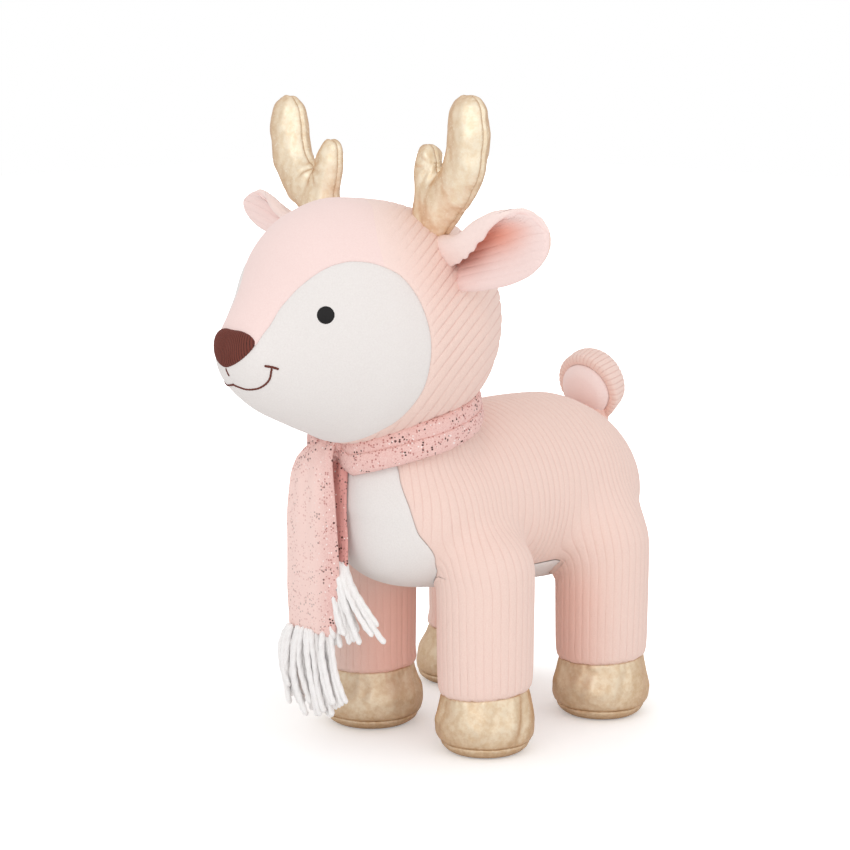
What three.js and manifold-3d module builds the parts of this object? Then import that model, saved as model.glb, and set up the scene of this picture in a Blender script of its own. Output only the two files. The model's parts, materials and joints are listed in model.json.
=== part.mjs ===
// A stuffed deer with a scarf, standing on four legs. Millimetres, +Z up, nose towards -Y,
// the deer's own left towards +X. The head is sewn on turned a little to the deer's right.
import * as THREE from "three";
import { mergeVertices } from "three/addons/utils/BufferGeometryUtils.js";
import Module from "manifold-3d";

const wasm = await Module();
wasm.setup();

// Clearances
const seamGap = 0.3; // between two pieces sewn or laid together
const jointGap = 0.4; // between a piece that flexes and its seat
const clothThick = 1.2; // a panel sewn into a stuffed form
const overrun = 3; // how far a cut runs past what it cuts

// Body
const bodyWide = 94;
const bodyTall = 92;
const bellyHeight = 62;
const chestAhead = 87;
const rumpBehind = 93;
const bodyLong = chestAhead + rumpBehind;
const chestTipShare = 0.5;
const rumpTipShare = 0.42;
const bellyWide = 62;
const bellyTop = 150;
const neckAhead = 55;
const neckWide = 60;
const plugWide = 53;
const plugTall = 9;
const neckRootWide = 50;
const neckRootHeight = 116;

// Head, in its own frame, whose origin lies below its middle
const headTurn = 8;
const headSwing = 12;
const headBehind = 45;
const headLong = 142;
const headWide = 117;
const headTall = 109;
const jawHeight = 147;
const neckIntoHead = 5.7;
const neckTop = jawHeight + neckIntoHead;
const muzzleAhead = 107;
const napeTipShare = 0.49;
const muzzleTipShare = 0.37;
const bandAhead = 30; // where the smooth forehead starts at the middle of the crown

// Nose, mouth and eyes
const noseWide = 23;
const noseTall = 18;
const noseDeep = 12;
const noseUpShare = 0.454; // of the head's height above the jaw, here and below
const noseHeight = jawHeight + headTall * noseUpShare;
const mouthWide = 43;
const mouthThread = 1.8;
const mouthUpShare = 0.367;
const mouthHeight = jawHeight + headTall * mouthUpShare;
const smileDeep = 10.5;
const eyeWide = 8.6;
const eyeDeep = 2.6;
const eyeApart = 70;
const eyeUpShare = 0.578;
const eyeHeight = jawHeight + headTall * eyeUpShare;

// Ears
const earLong = 67;
const earWide = 37;
const earThick = 2.2;
const earCup = 9;
const earRootWide = 22;
const earRootThick = 7;
const earApart = 96; // between the middles of the two roots
const earUpShare = 0.757;
const earHeight = jawHeight + headTall * earUpShare;
const earAhead = 13;
const earRise = 14;
const earClear = 2.4; // the folds at its root leave it free to flap
const earLean = 33; // the root line follows the side of the head

// Antlers
const antlerTall = 57.5;
const antlerSpread = 27;
const antlerThick = 17;
const tineWide = 23;
const smallTineWide = 15;
const smallTineTall = 38;
const stumpWide = 21;
const antlerApart = 80;
const antlerAhead = 26;
const antlerUpShare = 0.89;
const antlerHeight = jawHeight + headTall * antlerUpShare;
const antlerClear = 1.6;

// Legs, hooves and soles
const legWide = 43;
const hipWide = 48;
const hipSwing = 6;
const hipHeight = 84;
const hoofWide = 47;
const hoofTall = 28;
const soleWide = 37;
const soleThick = 1.6;
const seamRise = 3.4;
const frontLegAhead = 42.5;
const frontLegsApart = 68;
const frontLegsShift = 4.5;
const rearLegBehind = 42;
const rearLegsApart = 84;
const rearLegsShift = -5;

// Tail
const tailWide = 37;
const tailTall = 33;
const tailThick = 16;
const tailBallWide = 16;
const tailBehind = 82;
const tailHeight = 135;
const tailClear = 2.6;

// Scarf
const loopTall = 15;
const loopThick = 6;
const loopBelowJaw = 8;
const loopHeight = jawHeight - loopBelowJaw;
const loopRise = 20;
const knotWide = 20;
const knotTall = 19;
const knotThick = 12;
const knotSide = 20;
const scarfThick = 2.4;
const scarfFrontWide = 32;
const scarfFrontLong = 86;
const scarfBackWide = 24;
const scarfBackLong = 47;
const scarfFoldDeep = 2.2;
const yarnThick = 4.2;
const fringeFrontLong = 40;
const fringeBackLong = 30;
const fringeFrontCount = 8;
const fringeBackCount = 6;
const fringeSpread = 9;

// Counts of facets
const roundSides = 24;
const legSides = 20;
const seatSides = 28;
const smallSides = 10;
const yarnSides = 5;
const capSteps = 5;

// Body sections from chest to rump: place along it, half width, top and underside.
const bodyShares = [
  [0.016, 0.36, 0.72, 0.33],
  [0.06, 0.64, 0.84, 0.2],
  [0.137, 0.85, 0.89, 0.13],
  [0.246, 0.94, 0.93, 0.09],
  [0.393, 0.95, 0.98, 0.05],
  [0.557, 0.965, 1, 0.02],
  [0.721, 1, 0.99, 0],
  [0.836, 0.95, 0.93, 0.03],
  [0.923, 0.76, 0.82, 0.13],
  [0.978, 0.46, 0.67, 0.27],
];

// Head sections from muzzle to nape, in the same order.
const headShares = [
  [0.014, 0.165, 0.475, 0.268],
  [0.042, 0.295, 0.55, 0.202],
  [0.085, 0.41, 0.66, 0.147],
  [0.141, 0.53, 0.78, 0.101],
  [0.218, 0.685, 0.885, 0.055],
  [0.317, 0.84, 0.954, 0.018],
  [0.437, 0.957, 0.995, 0],
  [0.577, 1, 1, 0.01],
  [0.718, 0.957, 0.972, 0.037],
  [0.838, 0.803, 0.908, 0.092],
  [0.93, 0.581, 0.807, 0.183],
  [0.979, 0.342, 0.688, 0.284],
];

// The white face seen from the side: distance ahead and height, as shares of the head.
const faceShares = [
  [1.05, -0.1],
  [1.05, 0.45],
  [0.92, 0.455],
  [0.81, 0.68],
  [0.72, 0.78],
  [0.636, 0.803],
  [0.54, 0.79],
  [0.458, 0.735],
  [0.36, 0.59],
  [0.33, 0.43],
  [0.335, 0.26],
  [0.4, 0.12],
  [0.51, 0.02],
  [0.6, -0.1],
];

// The belly panel from above: place along the body and half width.
const bellyShares = [
  [-0.05, 0.9],
  [0.06, 1],
  [0.12, 0.86],
  [0.2, 0.5],
  [0.3, 0.42],
  [0.5, 0.6],
  [0.68, 0.42],
  [0.85, 0.3],
  [0.94, 0.08],
];

// The belly panel from the side: place along the body and height.
const bellySideShares = [
  [-0.08, -0.2],
  [-0.08, 1],
  [0.05, 1],
  [0.12, 0.7],
  [0.2, 0.42],
  [0.9, 0.36],
  [1, 0.2],
  [1, -0.2],
];

// The rear edge of the forehead panel from above: half width, and how far forward of the crown.
const foreheadShares = [
  [0, 0],
  [0.33, 0.06],
  [0.67, 0.26],
  [1, 0.36],
  [1, 0.9],
];
const foreheadLowShare = 0.44;

const earShares = [
  [0.0, 0.68],
  [0.12, 0.76],
  [0.3, 0.94],
  [0.5, 1],
  [0.68, 0.95],
  [0.83, 0.78],
  [0.94, 0.5],
  [0.99, 0.24],
];
const earCrossShares = [-1, -0.75, -0.5, -0.2, 0.2, 0.5, 0.75, 1];

// Middle line of the tall tine: out from the stump, up, and thickness there.
const tineShares = [
  [0.0, -0.02, 0.9],
  [0.1, 0.1, 0.95],
  [0.36, 0.24, 0.94],
  [0.72, 0.4, 0.98],
  [0.95, 0.57, 1],
  [1, 0.75, 0.98],
  [0.95, 0.88, 0.84],
  [0.91, 0.96, 0.52],
];

const smallTineShares = [
  [0.1, 0.1, 1],
  [-0.06, 0.45, 1],
  [-0.17, 0.68, 0.98],
  [-0.2, 0.86, 0.82],
  [-0.2, 0.96, 0.48],
];

const legShares = [
  [1, 0],
  [1.01, 0.3],
  [1.05, 0.7],
  [1.085, 0.93],
];

// Hoof profile: radius and height.
const hoofShares = [
  [0.89, 0],
  [0.965, 0.14],
  [1, 0.42],
  [0.985, 0.64],
  [0.93, 0.86],
  [0.9, 1],
];

const stripShares = [
  [0, 0.6],
  [0.07, 0.86],
  [0.2, 0.98],
  [0.6, 1],
  [1, 1],
];
const stripCrossShares = [-1, -0.6, -0.2, 0.2, 0.6, 1];

const tailShares = [
  [0.06, 0.6, 0.66],
  [0.2, 0.82, 0.88],
  [0.42, 0.97, 1],
  [0.62, 1, 0.98],
  [0.8, 0.84, 0.84],
  [0.93, 0.54, 0.56],
];

// An outline moved outwards all round by grow, whichever way it runs.
function widened(outline, grow) {
  const shape = outline.map(([x, y]) => new THREE.Vector2(x, y));
  const out = THREE.ShapeUtils.isClockWise(shape) ? -1 : 1;
  return shape.map((at, i) => {
    const before = at.clone().sub(shape.at(i - 1)).normalize();
    const after = shape[(i + 1) % shape.length].clone().sub(at).normalize();
    const run = before.add(after).normalize();
    return [at.x + run.y * out * grow, at.y - run.x * out * grow];
  });
}

const pink = { color: 0xf0c9be, roughness: 0.92 };
const smoothPink = { color: 0xf4d3cb, roughness: 0.85 };
const white = { color: 0xf2efec, roughness: 0.85 };
const gold = { color: 0xd7be9b, roughness: 0.42, metalness: 0.55 };
const brown = { color: 0x64322d, roughness: 0.7 };
const black = { color: 0x17110f, roughness: 0.45 };
const glitter = { color: 0xe9bdb8, roughness: 0.75 };
const yarn = { color: 0xeee8e6, roughness: 0.95 };

const point = (x, y, z) => new THREE.Vector3(x, y, z);
const turned = (degrees) => THREE.MathUtils.degToRad(degrees);

// A closed skin over rings of points, drawn to a point at each end, or round on itself.
function skin(rings, first, last) {
  const count = rings[0].length;
  const points = rings.flat();
  const index = [];
  const rows = first ? rings.length - 1 : rings.length;
  for (let i = 0; i < rows; i++) {
    const j = (i + 1) % rings.length;
    for (let k = 0; k < count; k++) {
      const l = (k + 1) % count;
      const [a, b, c, d] = [i * count + k, i * count + l, j * count + l, j * count + k];
      index.push(a, b, c, a, c, d);
    }
  }
  if (first) {
    points.push(first, last);
    const end = (rings.length - 1) * count;
    for (let k = 0; k < count; k++) {
      const l = (k + 1) % count;
      index.push(points.length - 2, l, k);
      index.push(points.length - 1, end + k, end + l);
    }
  }
  const geometry = new THREE.BufferGeometry().setFromPoints(points);
  geometry.setIndex(index);
  return facingOut(geometry);
}

// A thin closed sheet between two grids of points.
function slab(near, far) {
  const [rows, columns] = [near.length, near[0].length];
  const points = [...near.flat(), ...far.flat()];
  const index = [];
  const quad = (a, b, c, d) => index.push(a, b, c, a, c, d);
  const back = rows * columns;
  for (let i = 0; i + 1 < rows; i++) {
    for (let k = 0; k + 1 < columns; k++) {
      const a = i * columns + k;
      quad(a, a + 1, a + 1 + columns, a + columns);
      quad(back + a, back + a + columns, back + a + 1 + columns, back + a + 1);
    }
    const [left, right] = [i * columns, (i + 1) * columns - 1];
    quad(left, left + columns, back + left + columns, back + left);
    quad(right, back + right, back + right + columns, right + columns);
  }
  for (let k = 0; k + 1 < columns; k++) {
    const last = (rows - 1) * columns + k;
    quad(k, back + k, back + k + 1, k + 1);
    quad(last, last + 1, back + last + 1, back + last);
  }
  const geometry = new THREE.BufferGeometry().setFromPoints(points);
  geometry.setIndex(index);
  return facingOut(geometry);
}

function facingOut(geometry) {
  const at = geometry.getAttribute("position");
  const index = geometry.index.array;
  const [a, b, c] = [point(), point(), point()];
  let volume = 0;
  for (let i = 0; i < index.length; i += 3) {
    a.fromBufferAttribute(at, index[i]);
    b.fromBufferAttribute(at, index[i + 1]);
    c.fromBufferAttribute(at, index[i + 2]);
    volume += a.dot(b.cross(c));
  }
  if (volume < 0) {
    for (let i = 0; i < index.length; i += 3)
      [index[i + 1], index[i + 2]] = [index[i + 2], index[i + 1]];
  }
  return geometry;
}

function solid(geometry) {
  const plain = geometry.clone();
  plain.deleteAttribute("normal");
  plain.deleteAttribute("uv");
  const merged = mergeVertices(plain, seamGap / 300);
  return new wasm.Manifold(
    new wasm.Mesh({
      numProp: 3,
      vertProperties: merged.getAttribute("position").array,
      triVerts: new Uint32Array(merged.index.array),
    }),
  );
}

function mesh(name, body, look, group) {
  const made = body.getMesh();
  const geometry = new THREE.BufferGeometry();
  geometry.setAttribute("position", new THREE.BufferAttribute(made.vertProperties, 3));
  geometry.setIndex(new THREE.BufferAttribute(made.triVerts, 1));
  geometry.computeVertexNormals();
  const shown = new THREE.Mesh(geometry, new THREE.MeshStandardMaterial(look));
  shown.name = name;
  group.add(shown);
  return shown;
}

const joined = (first, ...rest) => rest.reduce((all, one) => all.add(one), first);
const cut = (first, ...rest) => rest.reduce((left, one) => left.subtract(one), first);

// An oval across Y, with its own height above and below its middle.
function crossOval(y, half, top, low, sides) {
  const middle = (top + low) / 2;
  return Array.from({ length: sides }, (_, k) => {
    const angle = (k / sides) * Math.PI * 2;
    return point(
      half * Math.cos(angle),
      y,
      middle + ((top - low) / 2) * Math.sin(angle),
    );
  });
}

// A stuffed form along Y from its sections, made smaller all round by inset.
function stuffed(shares, size, inset, sides = roundSides) {
  const along = (share) => -size.ahead + inset + share * (size.long - 2 * inset);
  const up = (share) => size.low + share * size.tall;
  const rings = shares.map(([share, half, top, low]) =>
    crossOval(
      along(share),
      (half * size.wide) / 2 - inset,
      up(top) - inset,
      up(low) + inset,
      sides,
    ),
  );
  return skin(
    rings,
    point(0, along(0), up(size.firstTip)),
    point(0, along(1), up(size.lastTip)),
  );
}

// A tube of ovals along a line that lies in a plane of constant Y.
function tine(places, wide, thick, sides) {
  const line = places.map(([x, z]) => point(x, 0, z));
  const rings = places.map(([x, z, share], i) => {
    const run = point()
      .subVectors(line[Math.min(i + 1, line.length - 1)], line[Math.max(i - 1, 0)])
      .normalize();
    const across = point(run.z, 0, -run.x);
    return Array.from({ length: sides }, (_, k) => {
      const angle = (k / sides) * Math.PI * 2;
      return point(x, 0, z)
        .addScaledVector(across, (share * wide * Math.cos(angle)) / 2)
        .add(point(0, (share * thick * Math.sin(angle)) / 2, 0));
    });
  });
  const end = line.at(-1);
  const run = point().subVectors(end, line.at(-2)).normalize();
  return skin(
    rings,
    point().addVectors(line[0], point().subVectors(line[0], line[1]).normalize()),
    end.clone().addScaledVector(run, (wide * places.at(-1)[2]) / 6),
  );
}

function prism(outline, depth) {
  const shape = new THREE.Shape(outline.map(([x, y]) => new THREE.Vector2(x, y)));
  return new THREE.ExtrudeGeometry(shape, { depth, bevelEnabled: false });
}

function ball(wide, x, y, z, sides = legSides) {
  return solid(new THREE.SphereGeometry(wide / 2, sides, sides / 2).translate(x, y, z));
}

function upright(wide, low, high, x, y, sides = legSides) {
  const round = new THREE.CylinderGeometry(wide / 2, wide / 2, high - low, sides);
  return solid(round.rotateX(Math.PI / 2).translate(x, y, (low + high) / 2));
}

function lathe(profile, sides) {
  const turnedShape = new THREE.LatheGeometry(
    profile.map(([x, y]) => new THREE.Vector2(x, y)),
    sides,
  );
  return turnedShape.rotateX(Math.PI / 2);
}

const deer = new THREE.Group();
const headGroup = new THREE.Group();
headGroup.position.set(0, -headBehind, 0);
headGroup.rotation.z = turned(-headTurn);
headGroup.updateMatrix();

const bodySize = {
  ahead: chestAhead,
  long: bodyLong,
  wide: bodyWide,
  low: bellyHeight,
  tall: bodyTall,
  firstTip: chestTipShare,
  lastTip: rumpTipShare,
};
const headSize = {
  ahead: muzzleAhead,
  long: headLong,
  wide: headWide,
  low: jawHeight,
  tall: headTall,
  firstTip: muzzleTipShare,
  lastTip: napeTipShare,
};
const bodyForm = (inset) => solid(stuffed(bodyShares, bodySize, inset));
const headForm = (inset) => solid(stuffed(headShares, headSize, inset));

// The space that the head passes through as it turns on the neck.
function headSweep(gap) {
  const swings = [-headSwing, 0, headSwing];
  return joined(
    ...swings.map((swing) => {
      const form = stuffed(headShares, headSize, -gap).applyMatrix4(headGroup.matrix);
      form.translate(0, neckAhead, 0);
      form.rotateZ(turned(swing));
      return solid(form.translate(0, -neckAhead, 0));
    }),
  );
}
const sweep = headSweep(jointGap);

// Legs: place, and whether the leg is in front.
const legs = [
  ["front_left", frontLegsShift + frontLegsApart / 2, -frontLegAhead],
  ["front_right", frontLegsShift - frontLegsApart / 2, -frontLegAhead],
  ["rear_left", rearLegsShift + rearLegsApart / 2, rearLegBehind],
  ["rear_right", rearLegsShift - rearLegsApart / 2, rearLegBehind],
];

// The seat of each leg: a round socket that opens downwards, so that the leg can swing.
const hipSeats = joined(
  ...legs.map(([, x, y]) => {
    const low = bellyHeight - overrun;
    const top = hipWide / 2 + jointGap + seamGap / 3;
    const flare = top + (hipHeight - low) * Math.tan(turned(hipSwing)) + jointGap;
    const opening = new THREE.CylinderGeometry(top, flare, hipHeight - low, legSides);
    opening.rotateX(Math.PI / 2).translate(x, y, (hipHeight + low) / 2);
    return joined(ball(2 * top, x, y, hipHeight, seatSides), solid(opening));
  }),
);

// Body and its white belly panel
const bellyCut = (grow) => {
  const plan = bellyShares.map(([along, half]) => [
    (half * bellyWide) / 2,
    -chestAhead + along * bodyLong,
  ]);
  const outline = [...plan, ...plan.map(([x, y]) => [-x, y]).reverse()];
  const side = bellySideShares.map(([along, up]) => [
    -chestAhead + along * bodyLong,
    bellyHeight + up * (bellyTop - bellyHeight),
  ]);
  const fromSide = prism(widened(side, grow), 2 * bodyWide)
    .translate(0, 0, -bodyWide)
    .rotateX(Math.PI / 2)
    .rotateZ(Math.PI / 2);
  return solid(prism(widened(outline, grow), bellyTop + overrun)).intersect(solid(fromSide));
};

const neckForm = (grow) =>
  solid(
    lathe(
      [
        [0, neckRootHeight],
        [neckRootWide / 2 + grow, neckRootHeight],
        [neckWide / 2 + grow, neckTop - 2 * plugTall],
        [neckWide / 2 + grow, neckTop - plugTall],
        [plugWide / 2 + grow, neckTop - plugTall / 2],
        [0, neckTop - plugTall / 2],
      ],
      legSides,
    ).translate(0, -neckAhead, 0),
  );
const plug = upright(plugWide, neckTop - 2 * plugTall, neckTop, 0, -neckAhead);

const tailSeat = ball(tailBallWide + 2 * jointGap, 0, tailBehind, tailHeight, smallSides);
const covered = cut(bodyForm(0), bellyCut(seamGap));
const bodySolid = cut(
  joined(bodyForm(clothThick + seamGap), covered, neckForm(0)),
  hipSeats,
  sweep,
  tailSeat,
);
mesh("body", joined(bodySolid, plug), pink, deer);
const neckRoom = neckForm(seamGap);
mesh(
  "belly_panel",
  cut(bodyForm(0), bodyForm(clothThick), hipSeats, neckRoom, sweep).intersect(bellyCut(0)),
  white,
  deer,
);

// Head with its forehead and face panels
const faceCut = (grow) => {
  const outline = faceShares.map(([ahead, up]) => [
    -ahead * muzzleAhead,
    jawHeight + up * headTall,
  ]);
  const side = prism(widened(outline, grow), 2 * headWide).translate(0, 0, -headWide);
  return solid(side.rotateX(Math.PI / 2).rotateZ(Math.PI / 2));
};
const foreheadCut = (grow) => {
  const edge = foreheadShares.map(([half, back]) => [
    (half * headWide) / 2,
    -bandAhead - back * headWide,
  ]);
  const outline = [...edge, ...edge.slice(1).map(([x, y]) => [-x, y]).reverse()];
  const high = prism(widened(outline, grow), headTall);
  return solid(high.translate(0, 0, jawHeight + headTall * foreheadLowShare));
};
const plugSeat = solid(
  new THREE.CylinderGeometry(
    plugWide / 2 + jointGap,
    plugWide / 2 + jointGap,
    2 * plugTall,
    legSides,
  )
    .rotateX(Math.PI / 2)
    .translate(0, -neckAhead, neckTop + seamGap - plugTall)
    .applyMatrix4(headGroup.matrix.clone().invert()),
);

// The surface of the head at a side and a height, seen from the front.
function frontOfHead(x, z) {
  const rows = [[0, 0, muzzleTipShare, muzzleTipShare], ...headShares];
  for (let i = 1; i < rows.length; i++) {
    for (let part = 0; part < 1; part += 0.02) {
      const row = rows[i].map((value, k) => rows[i - 1][k] + part * (value - rows[i - 1][k]));
      const half = (row[1] * headWide) / 2;
      const top = jawHeight + row[2] * headTall;
      const low = jawHeight + row[3] * headTall;
      const reach = (x / half) ** 2 + ((z - (top + low) / 2) / ((top - low) / 2)) ** 2;
      if (reach < 1) return -muzzleAhead + row[0] * headLong;
    }
  }
  return 0;
}

function outwards(x, z) {
  const step = clothThick;
  const at = (dx, dz) => point(x + dx, frontOfHead(x + dx, z + dz), z + dz);
  const across = point().subVectors(at(step, 0), at(-step, 0));
  const up = point().subVectors(at(0, step), at(0, -step));
  return across.cross(up).normalize();
}

// Ears: each has a frame at the middle of its root, out along the ear and up across it.
const earRoot = point(earApart / 2, -earAhead, earHeight);
const earOut = point(Math.cos(turned(earRise)), -0.075, Math.sin(turned(earRise))).normalize();
const earUp = point(-Math.sin(turned(earLean)), -0.07, Math.cos(turned(earLean))).normalize();

function earLayer(near, far, start) {
  const front = point().crossVectors(earUp, earOut).normalize();
  if (front.y > 0) front.negate();
  const square = point().crossVectors(earOut, front).normalize();
  if (square.z < 0) square.negate();
  const rows = earShares.filter(([along]) => along >= start);
  const layer = (depth) =>
    rows.map(([along, half]) => {
      const across = earUp.clone().lerp(square, Math.min(1, along * 2.2)).normalize();
      return earCrossShares.map((share) => {
        const bend = earCup * share * share * Math.min(1, along * 2.5 + 0.1);
        return earRoot
          .clone()
          .addScaledVector(earOut, along * earLong)
          .addScaledVector(across, (share * half * earWide) / 2)
          .addScaledVector(front, bend + depth);
      });
    });
  return slab(layer(near), layer(far));
}

const earBarrel = (thick, long) => {
  const round = new THREE.CylinderGeometry(thick / 2, thick / 2, long, smallSides);
  const turn = new THREE.Quaternion().setFromUnitVectors(point(0, 1, 0), earUp);
  return round.applyQuaternion(turn).translate(earRoot.x, earRoot.y, earRoot.z);
};
const mirrored = (geometry) => {
  const other = geometry.clone().scale(-1, 1, 1);
  if (!other.index) other.setIndex([...Array(other.getAttribute("position").count).keys()]);
  return facingOut(other);
};
const sided = [
  ["left", (geometry) => geometry],
  ["right", mirrored],
];
const earSeats = joined(
  ...sided.map(([, side]) =>
    solid(side(earBarrel(earRootThick + 2 * jointGap, earRootWide + 2 * overrun))),
  ),
);
const stumps = [antlerApart / 2, -antlerApart / 2];
const antlerSeats = joined(
  ...stumps.map((x) => ball(stumpWide + 2 * jointGap, x, -antlerAhead, antlerHeight)),
);

const faceShape = faceCut(0);
const shell = cut(headForm(0), headForm(clothThick), plugSeat, earSeats, antlerSeats);
const headCore = headForm(clothThick + seamGap);
const headCloth = cut(headForm(0), faceCut(seamGap), foreheadCut(seamGap));
mesh(
  "head",
  cut(joined(headCore, headCloth), plugSeat, earSeats, antlerSeats),
  pink,
  headGroup,
);
mesh(
  "forehead_panel",
  cut(shell.intersect(foreheadCut(0)), faceCut(seamGap)),
  smoothPink,
  headGroup,
);
const face = shell.intersect(faceShape);
const leftHalf = solid(
  new THREE.BoxGeometry(headWide, 2 * headLong, 3 * headTall).translate(
    headWide / 2 + seamGap / 2,
    0,
    jawHeight,
  ),
);
const rightHalf = solid(
  new THREE.BoxGeometry(headWide, 2 * headLong, 3 * headTall).translate(
    -headWide / 2 - seamGap / 2,
    0,
    jawHeight,
  ),
);
mesh("face_left", face.intersect(leftHalf), white, headGroup);
mesh("face_right", face.intersect(rightHalf), white, headGroup);

// Nose: a rounded pad, broad above, laid on the front of the muzzle
const noseRings = [-0.86, -0.5, 0, 0.5, 0.86].map((share) => {
  const reach = Math.sqrt(1 - share * share);
  return Array.from({ length: smallSides }, (_, k) => {
    const angle = (k / smallSides) * Math.PI * 2;
    const high = Math.sin(angle);
    const narrow = 1 - 0.2 * Math.max(0, -high);
    return point(
      (noseWide / 2) * reach * Math.cos(angle) * narrow,
      -muzzleAhead + noseDeep / 8 + (noseDeep / 2) * share,
      noseHeight + (noseTall / 2) * reach * high,
    );
  });
});
const noseY = -muzzleAhead + noseDeep / 8;
const noseForm = skin(
  noseRings,
  point(0, noseY - noseDeep / 2, noseHeight),
  point(0, noseY + noseDeep / 2, noseHeight),
);
const headSkin = headForm(-seamGap);
mesh("nose", cut(solid(noseForm), headSkin), brown, headGroup);

// Mouth: a stitched smile with a short line up to the nose
const raised = mouthThread / 2 + seamGap;
const onFace = (x, z) =>
  point(x, frontOfHead(x, z), z).addScaledVector(outwards(x, z), raised);
function stitched(places) {
  const line = new THREE.CatmullRomCurve3(places.map(([x, z]) => onFace(x, z)));
  const dot = new THREE.Shape();
  dot.absarc(0, 0, mouthThread / 2, 0, Math.PI * 2);
  return solid(
    new THREE.ExtrudeGeometry(dot, {
      extrudePath: line,
      steps: 2 * places.length,
      curveSegments: 2,
    }),
  );
}
const smileShares = [-1, -0.9, -0.68, -0.35, 0, 0.35, 0.68, 0.9, 1];
const smile = smileShares.map((share) => [
  (share * mouthWide) / 2,
  mouthHeight - smileDeep * Math.sqrt(1 - (0.96 * share) ** 2),
]);
const drop = [0, 0.5, 1].map((share) => [
  0,
  mouthHeight - smileDeep + share * (noseHeight - noseTall / 2 - mouthHeight + smileDeep),
]);
const thread = joined(stitched(smile), stitched(drop));
mesh("mouth", cut(thread, headForm(-seamGap / 2), solid(noseForm)), brown, headGroup);

// Eyes: low domes facing out of the head
for (const [name, side] of sided) {
  const x = eyeApart / 2;
  const out = outwards(x, eyeHeight);
  const dome = lathe(
    [
      [0, -eyeDeep],
      [eyeWide / 2, -eyeDeep],
      [eyeWide / 2, eyeDeep / 4],
      [eyeWide / 3, eyeDeep / 2],
      [0, (eyeDeep * 2) / 3],
    ],
    smallSides,
  );
  const turn = new THREE.Quaternion().setFromUnitVectors(point(0, 0, 1), out);
  dome.applyQuaternion(turn).translate(x, frontOfHead(x, eyeHeight), eyeHeight);
  mesh("eye_" + name, cut(solid(side(dome)), headSkin), black, headGroup);
}

// Ears
const earRoom = headForm(-earClear);
const antlerRoom = headForm(-antlerClear);
for (const [name, side] of sided) {
  const back = solid(side(earLayer(-earThick, 0, 0)));
  const barrel = solid(side(earBarrel(earRootThick, earRootWide)));
  const clear = cut(back, earRoom);
  mesh("ear_back_" + name, joined(clear, barrel), pink, headGroup);
  const lining = solid(side(earLayer(seamGap, seamGap + earThick, 0.12)));
  const room = solid(side(earBarrel(earRootThick + 2 * seamGap, earRootWide + overrun)));
  mesh("ear_lining_" + name, cut(lining, earRoom, room), smoothPink, headGroup);
}

// Antlers
for (const [name, side] of sided) {
  const places = (shares, tall) =>
    shares.map(([out, up, share]) => [
      antlerApart / 2 + out * antlerSpread,
      antlerHeight + up * tall,
      share,
    ]);
  const tall = tine(places(tineShares, antlerTall), tineWide, antlerThick, smallSides);
  const small = tine(
    places(smallTineShares, smallTineTall),
    smallTineWide,
    smallTineWide * 0.9,
    smallSides,
  );
  const both = [tall, small].map((shape) =>
    cut(solid(side(shape.translate(0, -antlerAhead, 0))), antlerRoom),
  );
  const x = (antlerApart / 2) * (name === "left" ? 1 : -1);
  const stump = ball(stumpWide, x, -antlerAhead, antlerHeight);
  mesh("antler_" + name, joined(stump, ...both), gold, headGroup);
}

// Legs with their hooves and soles
for (const [name, x, y] of legs) {
  const low = hoofTall + seamGap;
  const profile = legShares.map(([share, up]) => [
    (share * legWide) / 2,
    low + up * (hipHeight - low),
  ]);
  const cap = Array.from({ length: capSteps + 1 }, (_, k) => {
    const angle = (k / capSteps) * (Math.PI / 2);
    return [(hipWide / 2) * Math.cos(angle), hipHeight + (hipWide / 2) * Math.sin(angle)];
  });
  cap.at(-1)[0] = 0;
  const leg = lathe([[0, low], ...profile, ...cap], legSides);
  mesh("leg_" + name, solid(leg.translate(x, y, 0)), pink, deer);
  const hoof = hoofShares.map(([share, up]) => [
    (share * hoofWide) / 2,
    seamRise + up * (hoofTall - seamRise),
  ]);
  const cup = lathe([[0, seamRise], ...hoof, [0, hoofTall]], legSides);
  mesh("hoof_" + name, solid(cup.translate(x, y, 0)), gold, deer);
  const sole = lathe(
    [
      [0, 0],
      [soleWide / 2 - soleThick / 2, 0],
      [soleWide / 2, soleThick / 2],
      [soleWide / 2 + soleThick / 2, seamRise - seamGap],
      [0, seamRise - seamGap],
    ],
    legSides,
  );
  mesh("sole_" + name, solid(sole.translate(x, y, 0)), gold, deer);
}

// Tail: a round puff in two halves, on a stub that sits in the rump
function tailHalf(from, to) {
  const rings = tailShares.map(([up, wide, thick]) => {
    const half = (wide * tailWide) / 2;
    const deep = (thick * tailThick) / 2;
    const lean = tailBehind + up * up * tailThick * 0.3;
    const z = tailHeight + tailBallWide * 0.3 + up * tailTall;
    return Array.from({ length: roundSides / 2 }, (_, k) => {
      const angle = (k / (roundSides / 2)) * Math.PI * 2;
      return point(half * Math.cos(angle), lean + deep * Math.sin(angle), z);
    });
  });
  const foot = tailHeight + tailBallWide * 0.3;
  const form = solid(
    skin(
      rings,
      point(0, tailBehind, foot + tailTall * 0.02),
      point(0, tailBehind + tailThick * 0.3, foot + tailTall),
    ),
  );
  const slab = new THREE.BoxGeometry(2 * tailWide, to - from, 3 * tailTall).translate(
    0,
    tailBehind + (from + to) / 2,
    tailHeight + tailTall,
  );
  return form.intersect(solid(slab));
}
const stub = ball(tailBallWide, 0, tailBehind, tailHeight, smallSides);
const stubRoom = ball(tailBallWide + 2 * seamGap, 0, tailBehind, tailHeight, smallSides);
const bodyRoom = bodyForm(-tailClear);
const chestRoom = bodyForm(-jointGap);
mesh(
  "tail_back",
  joined(cut(tailHalf(-tailThick * 0.15, tailThick), bodyRoom), stub),
  pink,
  deer,
);
mesh(
  "tail_front",
  cut(tailHalf(-tailThick, -tailThick * 0.15 - seamGap), bodyRoom, stubRoom),
  smoothPink,
  deer,
);

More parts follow.
